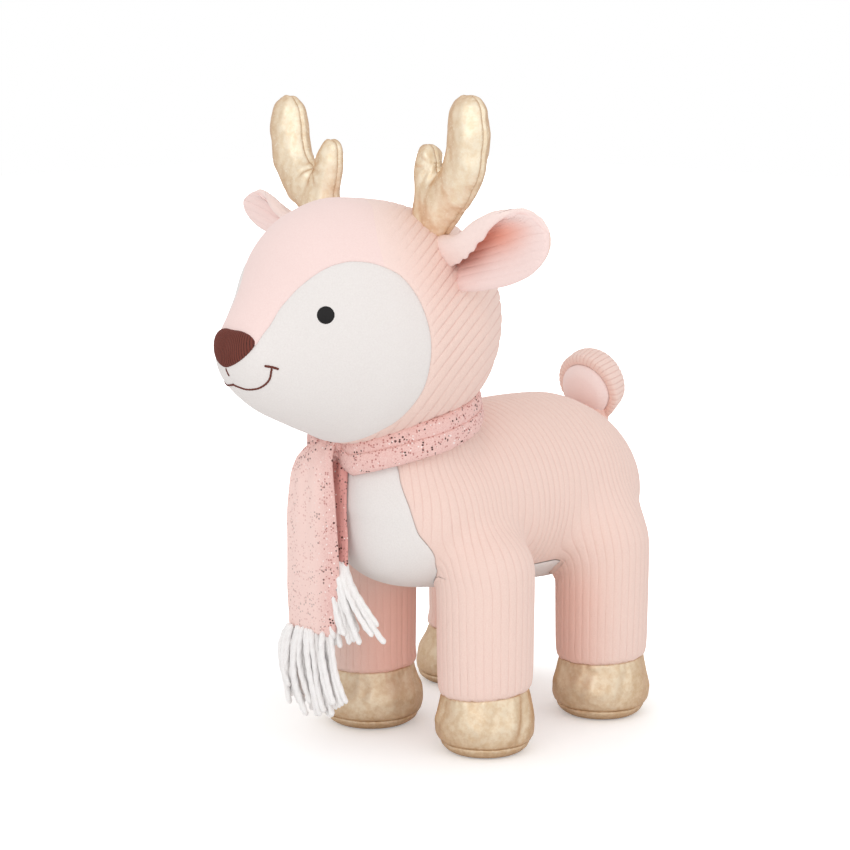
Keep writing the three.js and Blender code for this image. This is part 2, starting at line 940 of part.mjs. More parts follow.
// Scarf: a band round the neck that rises to the back, with a knot and two hanging tails
const loopRings = Array.from({ length: roundSides }, (_, k) => {
  const angle = (k / roundSides) * Math.PI * 2;
  const inner = neckWide / 2 + seamGap * 2;
  const middle = loopHeight + loopRise * Math.sqrt((1 + Math.sin(angle)) / 2);
  const section = [
    [0, -0.3],
    [0, 0.3],
    [0.2, 0.47],
    [0.7, 0.5],
    [1, 0.25],
    [1, -0.25],
    [0.7, -0.5],
    [0.2, -0.47],
  ];
  return section.map(([out, up]) =>
    point(
      (inner + out * loopThick) * Math.cos(angle),
      -neckAhead + (inner + out * loopThick) * Math.sin(angle),
      middle + up * loopTall,
    ),
  );
});
const knotAt = point(-knotSide, 0, loopHeight + knotTall / 8);
knotAt.y = -neckAhead - Math.sqrt((neckWide / 2 + loopThick) ** 2 - knotSide ** 2) - knotThick / 3;
const knotForm = (grow) =>
  solid(
    new THREE.SphereGeometry(1, smallSides, smallSides / 2)
      .scale(knotWide / 2 + grow, knotThick / 2 + grow, knotTall / 2 + grow)
      .translate(knotAt.x, knotAt.y, knotAt.z),
  );
const loopRoom = bodyForm(-seamGap);
const loop = cut(solid(skin(loopRings)), loopRoom, sweep, knotForm(seamGap));
mesh("scarf_loop", loop, glitter, deer);
mesh("scarf_knot", cut(knotForm(0), sweep), glitter, deer);

// A hanging strip with a shallow lengthwise fold, gathered at its top
function strip(wide, long, x, y, top) {
  const layer = (depth) =>
    stripShares.map(([down, spread]) =>
      stripCrossShares.map((share) =>
        point(
          x + (share * spread * wide) / 2,
          y + depth + (scarfFoldDeep * Math.cos(share * Math.PI)) / 2,
          top - down * long,
        ),
      ),
    );
  return solid(slab(layer(-scarfThick / 2), layer(scarfThick / 2)));
}

// Yarn strands that fan out below a bar along the strip's hem
const shorter = [0, 2, 1]; // how much each strand in turn falls short
function fringe(count, wide, long, x, y, top, lean) {
  const bar = new THREE.BoxGeometry(wide, yarnThick, yarnThick).translate(
    x,
    y,
    top - yarnThick / 2,
  );
  const strands = Array.from({ length: count }, (_, k) => {
    const share = (k + 0.5) / count - 0.5;
    const rings = [0.02, 0.3, 0.65, 0.95].map((down) =>
      Array.from({ length: yarnSides }, (_, side) => {
        const angle = (side / yarnSides) * Math.PI * 2;
        const thin = (yarnThick / 2) * (down > 0.9 ? 0.8 : 1);
        return point(
          x + share * wide * 0.86 + down * down * (share * fringeSpread + lean),
          y,
          top - yarnThick / 2 - down * long * (1 - 0.08 * shorter[k % shorter.length]),
        ).add(point(thin * Math.cos(angle), thin * Math.sin(angle), 0));
      }),
    );
    const centre = (ring) => ring.reduce((sum, at) => sum.add(at), point()).divideScalar(yarnSides);
    const first = centre(rings[0]);
    const last = centre(rings.at(-1));
    last.z -= yarnThick / 3;
    first.z += yarnThick / 6;
    return solid(skin(rings, first, last));
  });
  return joined(solid(bar), ...strands);
}

const hang = knotAt.z;
const frontY = knotAt.y - knotThick / 2;
const backY = knotAt.y - scarfThick / 3;
mesh(
  "scarf_tail_front",
  cut(strip(scarfFrontWide, scarfFrontLong, knotAt.x, frontY, hang), knotForm(seamGap)),
  glitter,
  deer,
);
const backX = knotAt.x + scarfBackWide * 0.4;
const backHang = knotAt.z - knotTall / 2 - seamGap;
mesh(
  "scarf_tail_back",
  cut(strip(scarfBackWide, scarfBackLong, backX, backY, backHang), chestRoom, neckForm(jointGap)),
  glitter,
  deer,
);
mesh(
  "fringe_front",
  fringe(
    fringeFrontCount,
    scarfFrontWide,
    fringeFrontLong,
    knotAt.x,
    frontY,
    hang - scarfFrontLong - seamGap,
    0,
  ),
  yarn,
  deer,
);
mesh(
  "fringe_back",
  fringe(
    fringeBackCount,
    scarfBackWide,
    fringeBackLong,
    backX,
    backY,
    backHang - scarfBackLong - seamGap,
    fringeSpread,
  ),
  yarn,
  deer,
);

// The origin is under the middle of the whole deer, on the floor.
deer.add(headGroup);
deer.updateMatrixWorld(true);
const bounds = new THREE.Box3().setFromObject(deer, true);
const middle = bounds.getCenter(point());
deer.position.set(-middle.x, -middle.y, -bounds.min.z);

export default deer;
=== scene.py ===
# A stuffed deer: ribbed pink cloth, white face and belly, foil antlers and hooves, a knotted scarf.
# Sizes in the dictionaries are millimetres in the deer's own frame: nose towards -Y, its left
# towards +X, the floor at Z = 0. They turn into metres in the part's frame when a mesh is made.
import json
import math

import bpy
import numpy as np
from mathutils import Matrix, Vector
from mathutils.bvhtree import BVHTree


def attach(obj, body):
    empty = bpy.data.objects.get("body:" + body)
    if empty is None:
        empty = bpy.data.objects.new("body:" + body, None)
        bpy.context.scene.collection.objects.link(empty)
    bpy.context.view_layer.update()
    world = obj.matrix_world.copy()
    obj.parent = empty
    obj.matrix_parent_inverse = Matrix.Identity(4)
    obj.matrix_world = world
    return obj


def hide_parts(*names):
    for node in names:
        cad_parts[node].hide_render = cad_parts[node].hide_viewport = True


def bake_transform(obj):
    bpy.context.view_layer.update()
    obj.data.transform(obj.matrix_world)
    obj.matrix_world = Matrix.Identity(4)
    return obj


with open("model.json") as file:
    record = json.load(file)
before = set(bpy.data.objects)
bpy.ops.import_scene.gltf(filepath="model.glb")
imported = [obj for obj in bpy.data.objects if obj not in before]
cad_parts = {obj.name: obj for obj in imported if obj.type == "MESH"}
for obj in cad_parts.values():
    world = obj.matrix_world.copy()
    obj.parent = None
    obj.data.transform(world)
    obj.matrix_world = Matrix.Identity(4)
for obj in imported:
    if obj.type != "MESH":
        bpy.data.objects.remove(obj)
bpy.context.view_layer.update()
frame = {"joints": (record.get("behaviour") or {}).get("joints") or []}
mm = 0.001
joints = {j["name"]: j for j in frame["joints"]}
neckAt = np.array(joints["head_turn"]["pos_m"]) / mm
standing = np.array([neckAt[0], neckAt[1] + 55, 0])  # adds the deer's frame to the part's

camera = {"azimuth": 44, "elevation": 10, "distance": 1.150, "lens": 105.4,
          "target": (0.01042, -0.01728, 0.150)}


def placeCamera():
    a, e = math.radians(camera["azimuth"]), math.radians(camera["elevation"])
    back = Vector((math.sin(a) * math.cos(e), -math.cos(a) * math.cos(e), math.sin(e)))
    bpy.ops.object.camera_add(location=Vector(camera["target"]) + back * camera["distance"])
    eye = bpy.context.object
    eye.name = "photoCamera"
    eye.rotation_euler = (-back).to_track_quat("-Z", "Y").to_euler()
    eye.data.lens = camera["lens"]
    eye.data.sensor_width = 36
    eye.data.clip_start, eye.data.clip_end = 0.05, 20
    bpy.context.scene.camera = eye


studio = {
    "world": 0.84,
    "front": {"at": (0.55, -1.35, 0.75), "size": 1.2, "power": 4.1},
    "fill": {"at": (1.5, -0.3, 0.7), "size": 1.4, "power": 2.6},
    "top": {"at": (-0.3, -0.2, 1.6), "size": 1.2, "power": 0.6},
    "floor": {"near": 0.09, "far": 0.22, "glow": 0.27},
}


def areaLight(name, spec):
    bpy.ops.object.light_add(type="AREA", location=spec["at"])
    lamp = bpy.context.object
    lamp.name = name
    lamp.data.size = spec["size"]
    lamp.data.energy = spec["power"]
    lamp.rotation_euler = (Vector((0, 0, 0.13)) - lamp.location).to_track_quat("-Z", "Y").to_euler()


def lightStudio():
    world = bpy.data.worlds.new("studio")
    bpy.context.scene.world = world
    world.use_nodes = True
    nodes, links = world.node_tree.nodes, world.node_tree.links
    around, seen = nodes["Background"], nodes.new("ShaderNodeBackground")
    around.inputs["Color"].default_value = seen.inputs["Color"].default_value = (1, 1, 1, 1)
    around.inputs["Strength"].default_value = studio["world"]
    ray, choice = nodes.new("ShaderNodeLightPath"), nodes.new("ShaderNodeMixShader")
    links.new(ray.outputs["Is Camera Ray"], choice.inputs[0])
    links.new(around.outputs[0], choice.inputs[1])
    links.new(seen.outputs[0], choice.inputs[2])
    links.new(choice.outputs[0], nodes["World Output"].inputs["Surface"])
    for name in ("front", "fill", "top"):
        areaLight(name, studio[name])
    bpy.context.scene.view_settings.view_transform = "Standard"
    bpy.ops.mesh.primitive_plane_add(size=6, location=(0, 0, 0))
    floor = bpy.context.object
    floor.name = "floor"
    paint = bpy.data.materials.new("paleFloor")
    paint.use_nodes = True
    nodes, links = paint.node_tree.nodes, paint.node_tree.links
    shader = nodes["Principled BSDF"]
    shader.inputs["Base Color"].default_value = (0.9, 0.9, 0.9, 1)
    shader.inputs["Roughness"].default_value = 0.9
    shader.inputs["Specular IOR Level"].default_value = 0
    shader.inputs["Emission Color"].default_value = (1, 1, 1, 1)
    # away from the deer the floor glows a little more, and meets the white behind it
    place, length = nodes.new("ShaderNodeTexCoord"), nodes.new("ShaderNodeVectorMath")
    length.operation = "LENGTH"
    links.new(place.outputs["Object"], length.inputs[0])
    glow = nodes.new("ShaderNodeMapRange")
    glow.interpolation_type = "SMOOTHSTEP"
    glow.inputs["From Min"].default_value = studio["floor"]["near"]
    glow.inputs["From Max"].default_value = studio["floor"]["far"]
    glow.inputs["To Min"].default_value = studio["floor"]["glow"]
    glow.inputs["To Max"].default_value = 1.0
    links.new(length.outputs["Value"], glow.inputs["Value"])
    ray, shown = nodes.new("ShaderNodeLightPath"), nodes.new("ShaderNodeMath")
    shown.operation = "MULTIPLY"
    links.new(glow.outputs[0], shown.inputs[0])
    links.new(ray.outputs["Is Camera Ray"], shown.inputs[1])
    links.new(shown.outputs[0], shader.inputs["Emission Strength"])
    floor.data.materials.append(paint)


placeCamera()
lightStudio()
print("stage: camera and light")


# A curve through points that never swings past them
def smoothCurve(xs, ys):
    xs, ys = np.array(xs, float), np.array(ys, float)
    step = np.diff(xs)
    rise = np.diff(ys) / step
    slope = np.zeros(len(xs))
    same = rise[1:] * rise[:-1] > 0
    w1, w2 = 2 * step[1:] + step[:-1], step[1:] + 2 * step[:-1]
    slope[1:-1][same] = ((w1 + w2)[same]
                         / (w1[same] / rise[:-1][same] + w2[same] / rise[1:][same]))
    slope[0], slope[-1] = rise[0], rise[-1]

    def at(x):
        x = np.clip(x, xs[0], xs[-1])
        i = np.clip(np.searchsorted(xs, x, side="right") - 1, 0, len(step) - 1)
        t = (x - xs[i]) / step[i]
        return ((1 + 2 * t) * (1 - t) ** 2 * ys[i] + t * (1 - t) ** 2 * step[i] * slope[i]
                + t * t * (3 - 2 * t) * ys[i + 1] + t * t * (t - 1) * step[i] * slope[i + 1])
    return at


def eased(x, low, high):
    t = np.clip((x - low) / (high - low), 0, 1)
    return t * t * (3 - 2 * t)


def unit(v):
    return v / np.maximum(np.linalg.norm(v, axis=-1, keepdims=True), 1e-12)


# Slow, repeatable unevenness between about -1 and 1, with bumps about size mm across
def uneven(co, size, seed=1):
    draw = np.random.default_rng(seed)
    total = np.zeros(len(co))
    for _ in range(7):
        way = draw.normal(size=3)
        way *= draw.uniform(0.7, 1.4) * 2 * math.pi / size / np.linalg.norm(way)
        total += np.sin(co @ way + draw.uniform(0, 2 * math.pi))
    return total / 3.2


# Joining two distances with a rounded corner: the distance and how much of it is b's
def blended(a, b, k):
    share = np.clip(0.5 + 0.5 * (a - b) / k, 0, 1)
    return a + (b - a) * share - k * share * (1 - share), share


def pickNone():
    if bpy.context.object and bpy.context.object.mode != "OBJECT":
        bpy.ops.object.mode_set(mode="OBJECT")
    bpy.ops.object.select_all(action="DESELECT")


def pick(*pieces):
    pickNone()
    for piece in pieces:
        piece.select_set(True)
    bpy.context.view_layer.objects.active = pieces[0]


def coordinates(piece):
    co = np.zeros(len(piece.data.vertices) * 3)
    piece.data.vertices.foreach_get("co", co)
    return co.reshape(-1, 3)


def setCoordinates(piece, co):
    piece.data.vertices.foreach_set("co", np.ascontiguousarray(co, dtype=np.float32).ravel())
    piece.data.update()


def withModifier(piece, kind, **settings):
    pick(piece)
    modifier = piece.modifiers.new(kind.lower(), kind)
    for name, value in settings.items():
        setattr(modifier, name, value)
    bpy.ops.object.modifier_apply(modifier=modifier.name)
    return piece


# A working mesh in millimetres as arrays: places, outward directions, triangles, values per corner
class Cloth:
    def __init__(self, co, no, tri, **values):
        self.co, self.no, self.tri, self.values = co, no, tri, values

    def part(self, keep):
        used = np.unique(self.tri[keep])
        where = np.full(len(self.co), -1)
        where[used] = np.arange(len(used))
        return Cloth(self.co[used], self.no[used], where[self.tri[keep]],
                     **{k: v[used] for k, v in self.values.items()})


def clothFrom(piece):
    withModifier(piece, "TRIANGULATE")
    co = coordinates(piece) / mm
    tri = np.zeros(len(piece.data.polygons) * 3, np.int64)
    piece.data.polygons.foreach_get("vertices", tri)
    tri = tri.reshape(-1, 3)
    bpy.data.objects.remove(piece)
    return Cloth(co, pointingOut(co, tri), tri)


def pointingOut(co, tri):
    a, b, c = co[tri[:, 0]], co[tri[:, 1]], co[tri[:, 2]]
    face = np.cross(b - a, c - a)
    total = np.zeros_like(co)
    for corner in range(3):
        np.add.at(total, tri[:, corner], face)
    return unit(total)


# Cuts the triangles along the lines where a value reaches each level, and rounds the new corners
# by the outward directions. Each new corner lies on an old edge, so both sides of it share one.
def cutAlong(cloth, name, levels):
    levels = np.asarray(levels, float)
    value = cloth.values[name].copy()
    nearest = levels[np.clip(np.searchsorted(levels, value), 0, len(levels) - 1)]
    value[np.abs(value - nearest) < 1e-4] += 2e-4
    nearest = levels[np.clip(np.searchsorted(levels, value) - 1, 0, len(levels) - 1)]
    value[np.abs(value - nearest) < 1e-4] += 2e-4
    sides = np.concatenate([cloth.tri[:, [0, 1]], cloth.tri[:, [1, 2]], cloth.tri[:, [2, 0]]])
    edges, sideOf = np.unique(np.sort(sides, axis=1), axis=0, return_inverse=True)
    sideOf = sideOf.reshape(3, -1).T
    falls = value[edges[:, 0]] > value[edges[:, 1]]
    edges[falls] = edges[falls][:, ::-1]
    first = np.searchsorted(levels, value[edges[:, 0]])
    count = np.searchsorted(levels, value[edges[:, 1]]) - first
    start = np.concatenate([[0], np.cumsum(count)[:-1]])
    owner = np.repeat(np.arange(len(edges)), count)
    level = levels[first[owner] + np.arange(len(owner)) - start[owner]]
    start += len(cloth.co)
    a, b = edges[owner].T
    t = ((level - value[a]) / (value[b] - value[a]))[:, None]
    co = cloth.co[a] * (1 - t) + cloth.co[b] * t
    for end, share in ((a, 1 - t), (b, t)):
        out = cloth.no[end]
        co = co - 0.5 * share * ((co - cloth.co[end]) * out).sum(1, keepdims=True) * out
    no = unit(cloth.no[a] * (1 - t) + cloth.no[b] * t)
    values = {k: np.concatenate([v, level if k == name else v[a] * (1 - t[:, 0]) + v[b] * t[:, 0]])
              for k, v in cloth.values.items()}
    whole = count[sideOf].sum(1) == 0
    heights = np.concatenate([value, level]).tolist()
    starts, counts = start.tolist(), count.tolist()
    corners, ofSides = cloth.tri[~whole].tolist(), sideOf[~whole].tolist()
    order = np.argsort(value[cloth.tri[~whole]], axis=1, kind="stable").tolist()
    made = []
    for face, edge, (low, mid, high) in zip(corners, ofSides, order):
        chain = [list(range(starts[e], starts[e] + counts[e]))
                 for e in (edge[(0, 2, 1)[p + q - 1]] for p, q in ((low, mid), (mid, high), (low, high)))]
        left = [face[low], *chain[0], face[mid], *chain[1], face[high]]
        right = [face[low], *chain[2], face[high]]
        turned = (mid - low) % 3 == 1
        i = j = 0
        while i < len(left) - 1 or j < len(right) - 1:
            if j == len(right) - 1 or (i < len(left) - 1
                                       and heights[left[i + 1]] <= heights[right[j + 1]]):
                new = (left[i], right[j], left[i + 1])
                i += 1
            else:
                new = (left[i], right[j], right[j + 1])
                j += 1
            if new[0] != new[1] and new[1] != new[2] and new[0] != new[2]:
                made.append((new[1], new[0], new[2]) if turned else new)
    tri = np.concatenate([cloth.tri[whole], np.array(made, np.int64).reshape(-1, 3)])
    return Cloth(np.concatenate([cloth.co, co]), np.concatenate([cloth.no, no]), tri, **values)


# A node's place back in the part's frame, as an object
def camelCase(name):
    first, *others = name.split("_")
    return first + "".join(word.capitalize() for word in others)


def pieceFrom(cloth, name, turn=None):
    name = camelCase(name)
    mesh = bpy.data.meshes.new(name)
    co = cloth.co @ turn.T if turn is not None else cloth.co
    mesh.vertices.add(len(co))
    mesh.vertices.foreach_set("co", ((co + standing) * mm).astype(np.float32).ravel())
    mesh.loops.add(cloth.tri.size)
    mesh.loops.foreach_set("vertex_index", cloth.tri.astype(np.int32).ravel())
    mesh.polygons.add(len(cloth.tri))
    mesh.polygons.foreach_set("loop_start", np.arange(0, cloth.tri.size, 3, dtype=np.int32))
    mesh.update(calc_edges=True)
    mesh.validate()
    mesh.polygons.foreach_set("use_smooth", np.ones(len(mesh.polygons), bool))
    for label, value in cloth.values.items():
        if label in ("rib", "tint"):
            spot = mesh.attributes.new(label, "FLOAT", "POINT")
            spot.data.foreach_set("value", value.astype(np.float32))
    piece = bpy.data.objects.new(name, mesh)
    bpy.context.collection.objects.link(piece)
    return piece


# Corduroy: how high a rib stands at a place across it, 0 in the groove and 1 on the crown
corduroy = {"pitch": 3.75, "steps": (0, 0.08, 0.19, 0.33, 0.5, 0.67, 0.81, 0.92)}


def ribHeight(across):
    place = np.abs((across / corduroy["pitch"]) % 1 - 0.5) * 2
    return np.sqrt(np.clip(1 - place ** 2.3, 0, 1))


def ribbed(cloth, deep, fade):
    across = cloth.values["across"]
    low, high = math.floor(across.min() / corduroy["pitch"]), math.ceil(across.max() / corduroy["pitch"])
    levels = [(k + step) * corduroy["pitch"] for k in range(low, high) for step in corduroy["steps"]]
    cloth = cutAlong(cloth, "across", levels)
    rib = ribHeight(cloth.values["across"])
    tall = fade(cloth) * (0.88 + 0.12 * uneven(cloth.co, 22, 5))
    cloth.co = cloth.co + ((rib - 0.75) * deep * tall)[:, None] * cloth.no
    cloth.values["rib"] = 1 - (1 - rib) * np.clip(tall * deep / 0.55, 0, 1)
    return cloth


# A stuffed form along Y: share of its length, half width, top and bottom of each section
def formCurves(form):
    rows = [(0, 0, form["tips"][0], form["tips"][0]), *form["sections"],
            (1, 0, form["tips"][1], form["tips"][1])]
    rows = np.array(rows, float)
    turn = np.arccos(1 - 2 * rows[:, 0])
    return [smoothCurve(turn, rows[:, k]) for k in (1, 2, 3)]


def stuffedForm(form, sides=144, rings=96):
    pickNone()
    bpy.ops.mesh.primitive_uv_sphere_add(segments=sides, ring_count=rings, radius=1)
    piece = bpy.context.object
    co = coordinates(piece)
    turn, round = np.arccos(np.clip(co[:, 2], -1, 1)), np.arctan2(co[:, 1], co[:, 0])
    half, top, low = (curve(turn) for curve in formCurves(form))
    flat = np.hypot(co[:, 0], co[:, 1]) < 1e-6
    half[flat] = 0
    middle, reach = (top + low) / 2, (top - low) / 2
    reach[flat] = 0
    setCoordinates(piece, mm * np.stack([
        half * form["wide"] / 2 * np.cos(round),
        -form["ahead"] + form["long"] * (1 - np.cos(turn)) / 2,
        form["low"] + form["tall"] * (middle + reach * np.sin(round))], axis=1))
    return piece


def treeOf(piece):
    cloth = clothFrom(piece)
    return cloth, BVHTree.FromPolygons(cloth.co.tolist(), cloth.tri.tolist())


# Distance from a closed form to each point, with the way out of it
def distanceTo(tree, cloth, co):
    far, out = np.zeros(len(co)), np.zeros_like(co)
    corners, directions = cloth.tri, cloth.no
    for k, at in enumerate(co.tolist()):
        spot, normal, face, gap = tree.find_nearest(at)
        a, b, c = corners[face]
        pa, pb, pc = cloth.co[a], cloth.co[b], cloth.co[c]
        spot = np.array(spot)
        n = np.array(normal)
        area = np.dot(np.cross(pb - pa, pc - pa), n)
        u = np.dot(np.cross(pc - pb, spot - pb), n) / area
        v = np.dot(np.cross(pa - pc, spot - pc), n) / area
        way = directions[a] * u + directions[b] * v + directions[c] * (1 - u - v)
        out[k] = way / max(1e-9, math.sqrt(way @ way))
        far[k] = np.dot(np.array(at) - spot, n)
        if gap > abs(far[k]) * 1.02:
            far[k] = math.copysign(gap, far[k])
    return far, out


def onto(cloth, distance, rounds=3, relax=4):
    edges = np.unique(np.sort(np.concatenate([
        cloth.tri[:, [0, 1]], cloth.tri[:, [1, 2]], cloth.tri[:, [2, 0]]]), axis=1), axis=0)
    degree = np.bincount(edges.ravel(), minlength=len(cloth.co))[:, None]
    for step in range(rounds + relax):
        far, out = distance(cloth.co)[:2]
        size = np.maximum((out ** 2).sum(1), 0.25)
        cloth.co = cloth.co - (far / size)[:, None] * out
        if step < relax:
            near = np.zeros_like(cloth.co)
            np.add.at(near, edges[:, 0], cloth.co[edges[:, 1]])
            np.add.at(near, edges[:, 1], cloth.co[edges[:, 0]])
            move = near / degree - cloth.co
            way = unit(out)
            cloth.co = cloth.co + 0.6 * (move - (move * way).sum(1, keepdims=True) * way)
    cloth.no = unit(distance(cloth.co)[1])
    return cloth


def seamDip(gap, deep=0.9, wide=1.0):
    return deep * np.exp(-np.abs(gap) / wide)


# Finishes, one for each material slot of the record
def mixedColour(nodes, links, share, low, high):
    mix = nodes.new("ShaderNodeMix")
    mix.data_type = "RGBA"
    links.new(share, mix.inputs[0])
    for socket, colour in ((mix.inputs[6], low), (mix.inputs[7], high)):
        if hasattr(colour, "links"):
            links.new(colour, socket)
        else:
            socket.default_value = (*colour, 1)
    return mix.outputs[2]


def linear(red, green, blue):
    return tuple((c / 12.92 if c <= 0.04045 else ((c + 0.055) / 1.055) ** 2.4)
                 for c in (red / 255, green / 255, blue / 255))


# Fine nap of a cloth: how light each speck of it is, and the way it stands
def napGroup():
    group = bpy.data.node_groups.new("clothNap", "ShaderNodeTree")
    for name, kind in (("Size", "NodeSocketFloat"), ("Depth", "NodeSocketFloat")):
        group.interface.new_socket(name, in_out="INPUT", socket_type=kind)
    group.interface.new_socket("Light", in_out="OUTPUT", socket_type="NodeSocketFloat")
    group.interface.new_socket("Normal", in_out="OUTPUT", socket_type="NodeSocketVector")
    nodes, links = group.nodes, group.links
    start, end = nodes.new("NodeGroupInput"), nodes.new("NodeGroupOutput")
    place = nodes.new("ShaderNodeTexCoord")
    speck = nodes.new("ShaderNodeTexNoise")
    speck.inputs["Detail"].default_value = 3
    speck.inputs["Roughness"].default_value = 0.65
    links.new(place.outputs["Object"], speck.inputs["Vector"])
    links.new(start.outputs["Size"], speck.inputs["Scale"])
    bump = nodes.new("ShaderNodeBump")
    bump.inputs["Strength"].default_value = 1
    links.new(start.outputs["Depth"], bump.inputs["Distance"])
    links.new(speck.outputs[0], bump.inputs["Height"])
    links.new(speck.outputs[0], end.inputs["Light"])
    links.new(bump.outputs["Normal"], end.inputs["Normal"])
    return group


nap = napGroup()


def newPaint(name, roughness, sheen=0.0, specular=0.25):
    paint = bpy.data.materials.new(name)
    paint.use_nodes = True
    nodes, links = paint.node_tree.nodes, paint.node_tree.links
    shader = nodes["Principled BSDF"]
    shader.inputs["Roughness"].default_value = roughness
    shader.inputs["Sheen Weight"].default_value = sheen
    shader.inputs["Sheen Roughness"].default_value = 0.45
    shader.inputs["Specular IOR Level"].default_value = specular
    return paint, nodes, links, shader


def withNap(nodes, links, shader, size, depth):
    fur = nodes.new("ShaderNodeGroup")
    fur.node_tree = nap
    fur.inputs["Size"].default_value = size
    fur.inputs["Depth"].default_value = depth
    links.new(fur.outputs["Normal"], shader.inputs["Normal"])
    return fur.outputs["Light"]


def valueFrom(nodes, links, source, low, high):
    scale = nodes.new("ShaderNodeMapRange")
    scale.inputs["From Min"].default_value = low
    scale.inputs["From Max"].default_value = high
    links.new(source, scale.inputs["Value"])
    return scale.outputs[0]


# Cloth with its attribute "tint" above 0 is paler than the rest, and below 0 deeper and warmer
def tinted(nodes, links, colour, pale, deep):
    tint = nodes.new("ShaderNodeAttribute")
    tint.attribute_name = "tint"
    colour = mixedColour(nodes, links, valueFrom(nodes, links, tint.outputs["Fac"], 0, 1), colour, linear(*pale))
    return mixedColour(nodes, links, valueFrom(nodes, links, tint.outputs["Fac"], 0, -1), colour, linear(*deep))


def clothPaint(name, light, dark, size, depth, sheen, ribs=None, tints=None):
    paint, nodes, links, shader = newPaint(name, 0.9, sheen, 0.12)
    speck = withNap(nodes, links, shader, size, depth)
    colour = mixedColour(nodes, links, valueFrom(nodes, links, speck, 0.3, 0.7), linear(*dark), linear(*light))
    # painted shade: the grooves between the ribs are painted darker
    if ribs:
        rib = nodes.new("ShaderNodeAttribute")
        rib.attribute_name = "rib"
        colour = mixedColour(nodes, links, valueFrom(nodes, links, rib.outputs["Fac"], 0, 0.75), linear(*ribs), colour)
    if tints:
        colour = tinted(nodes, links, colour, *tints)
    links.new(colour, shader.inputs["Base Color"])
    return paint


def foilPaint():
    paint, nodes, links, shader = newPaint("goldFoilCloth", 0.42, 0.0, 0.5)
    shader.inputs["Metallic"].default_value = 0.5
    place = nodes.new("ShaderNodeTexCoord")
    flake = nodes.new("ShaderNodeTexVoronoi")
    flake.inputs["Scale"].default_value = 1300
    patch = nodes.new("ShaderNodeTexNoise")
    patch.inputs["Scale"].default_value = 300
    patch.inputs["Detail"].default_value = 4
    patch.inputs["Roughness"].default_value = 0.65
    for texture in (flake, patch):
        links.new(place.outputs["Object"], texture.inputs["Vector"])
    # painted reflection: the foil is painted pale where it faces out and tan where it turns away
    facing = nodes.new("ShaderNodeLayerWeight")
    facing.inputs["Blend"].default_value = 0.5
    colour = mixedColour(nodes, links, valueFrom(nodes, links, facing.outputs["Facing"], 0.12, 0.85),
                         linear(248, 234, 209), linear(214, 174, 132))
    mottled = mixedColour(nodes, links, valueFrom(nodes, links, facing.outputs["Facing"], 0.12, 0.85),
                          linear(241, 221, 190), linear(202, 160, 116))
    colour = mixedColour(nodes, links, valueFrom(nodes, links, patch.outputs[0], 0.38, 0.58), mottled, colour)
    dots = nodes.new("ShaderNodeSeparateColor")
    links.new(flake.outputs["Color"], dots.inputs["Color"])
    # painted highlight: the brightest flakes are painted as pale glints
    colour = mixedColour(nodes, links, valueFrom(nodes, links, dots.outputs[0], 0.9, 1.1), colour, linear(250, 240, 220))
    # where the attribute is below 0 the foil is duller, in crackled patches: the hooves' own crackled foil, with
    # painted shade towards their bottom
    dullingAndShade, share = nodes.new("ShaderNodeAttribute"), nodes.new("ShaderNodeMath")
    dullingAndShade.attribute_name = "tint"
    crackle = nodes.new("ShaderNodeMapRange")
    for socket, value in (("From Min", 0.34), ("From Max", 0.62), ("To Min", -1.2), ("To Max", -0.75)):
        crackle.inputs[socket].default_value = value
    links.new(patch.outputs[0], crackle.inputs["Value"])
    share.operation = "MULTIPLY"
    share.use_clamp = True
    links.new(dullingAndShade.outputs["Fac"], share.inputs[0])
    links.new(crackle.outputs[0], share.inputs[1])
    colour = mixedColour(nodes, links, share.outputs[0], colour, linear(200, 164, 124))
    links.new(colour, shader.inputs["Base Color"])
    rough = nodes.new("ShaderNodeMapRange")
    rough.inputs["To Min"].default_value = 0.34
    rough.inputs["To Max"].default_value = 0.5
    links.new(dots.outputs[1], rough.inputs["Value"])
    links.new(rough.outputs[0], shader.inputs["Roughness"])
    bump = nodes.new("ShaderNodeBump")
    bump.inputs["Strength"].default_value = 0.5
    bump.inputs["Distance"].default_value = 0.00025
    links.new(patch.outputs[0], bump.inputs["Height"])
    second = nodes.new("ShaderNodeBump")
    second.inputs["Strength"].default_value = 0.4
    second.inputs["Distance"].default_value = 0.00008
    links.new(dots.outputs[2], second.inputs["Height"])
    links.new(bump.outputs["Normal"], second.inputs["Normal"])
    links.new(second.outputs["Normal"], shader.inputs["Normal"])
    return paint


def threadPaint(name, light, dark, roughness):
    paint, nodes, links, shader = newPaint(name, roughness, 0.0, 0.3)
    # painted shade: the thread is painted dark between its stitches and light on their crowns
    rib = nodes.new("ShaderNodeAttribute")
    rib.attribute_name = "rib"
    colour = mixedColour(nodes, links, valueFrom(nodes, links, rib.outputs["Fac"], 0, 0.8), linear(*dark), linear(*light))
    links.new(colour, shader.inputs["Base Color"])
    return paint


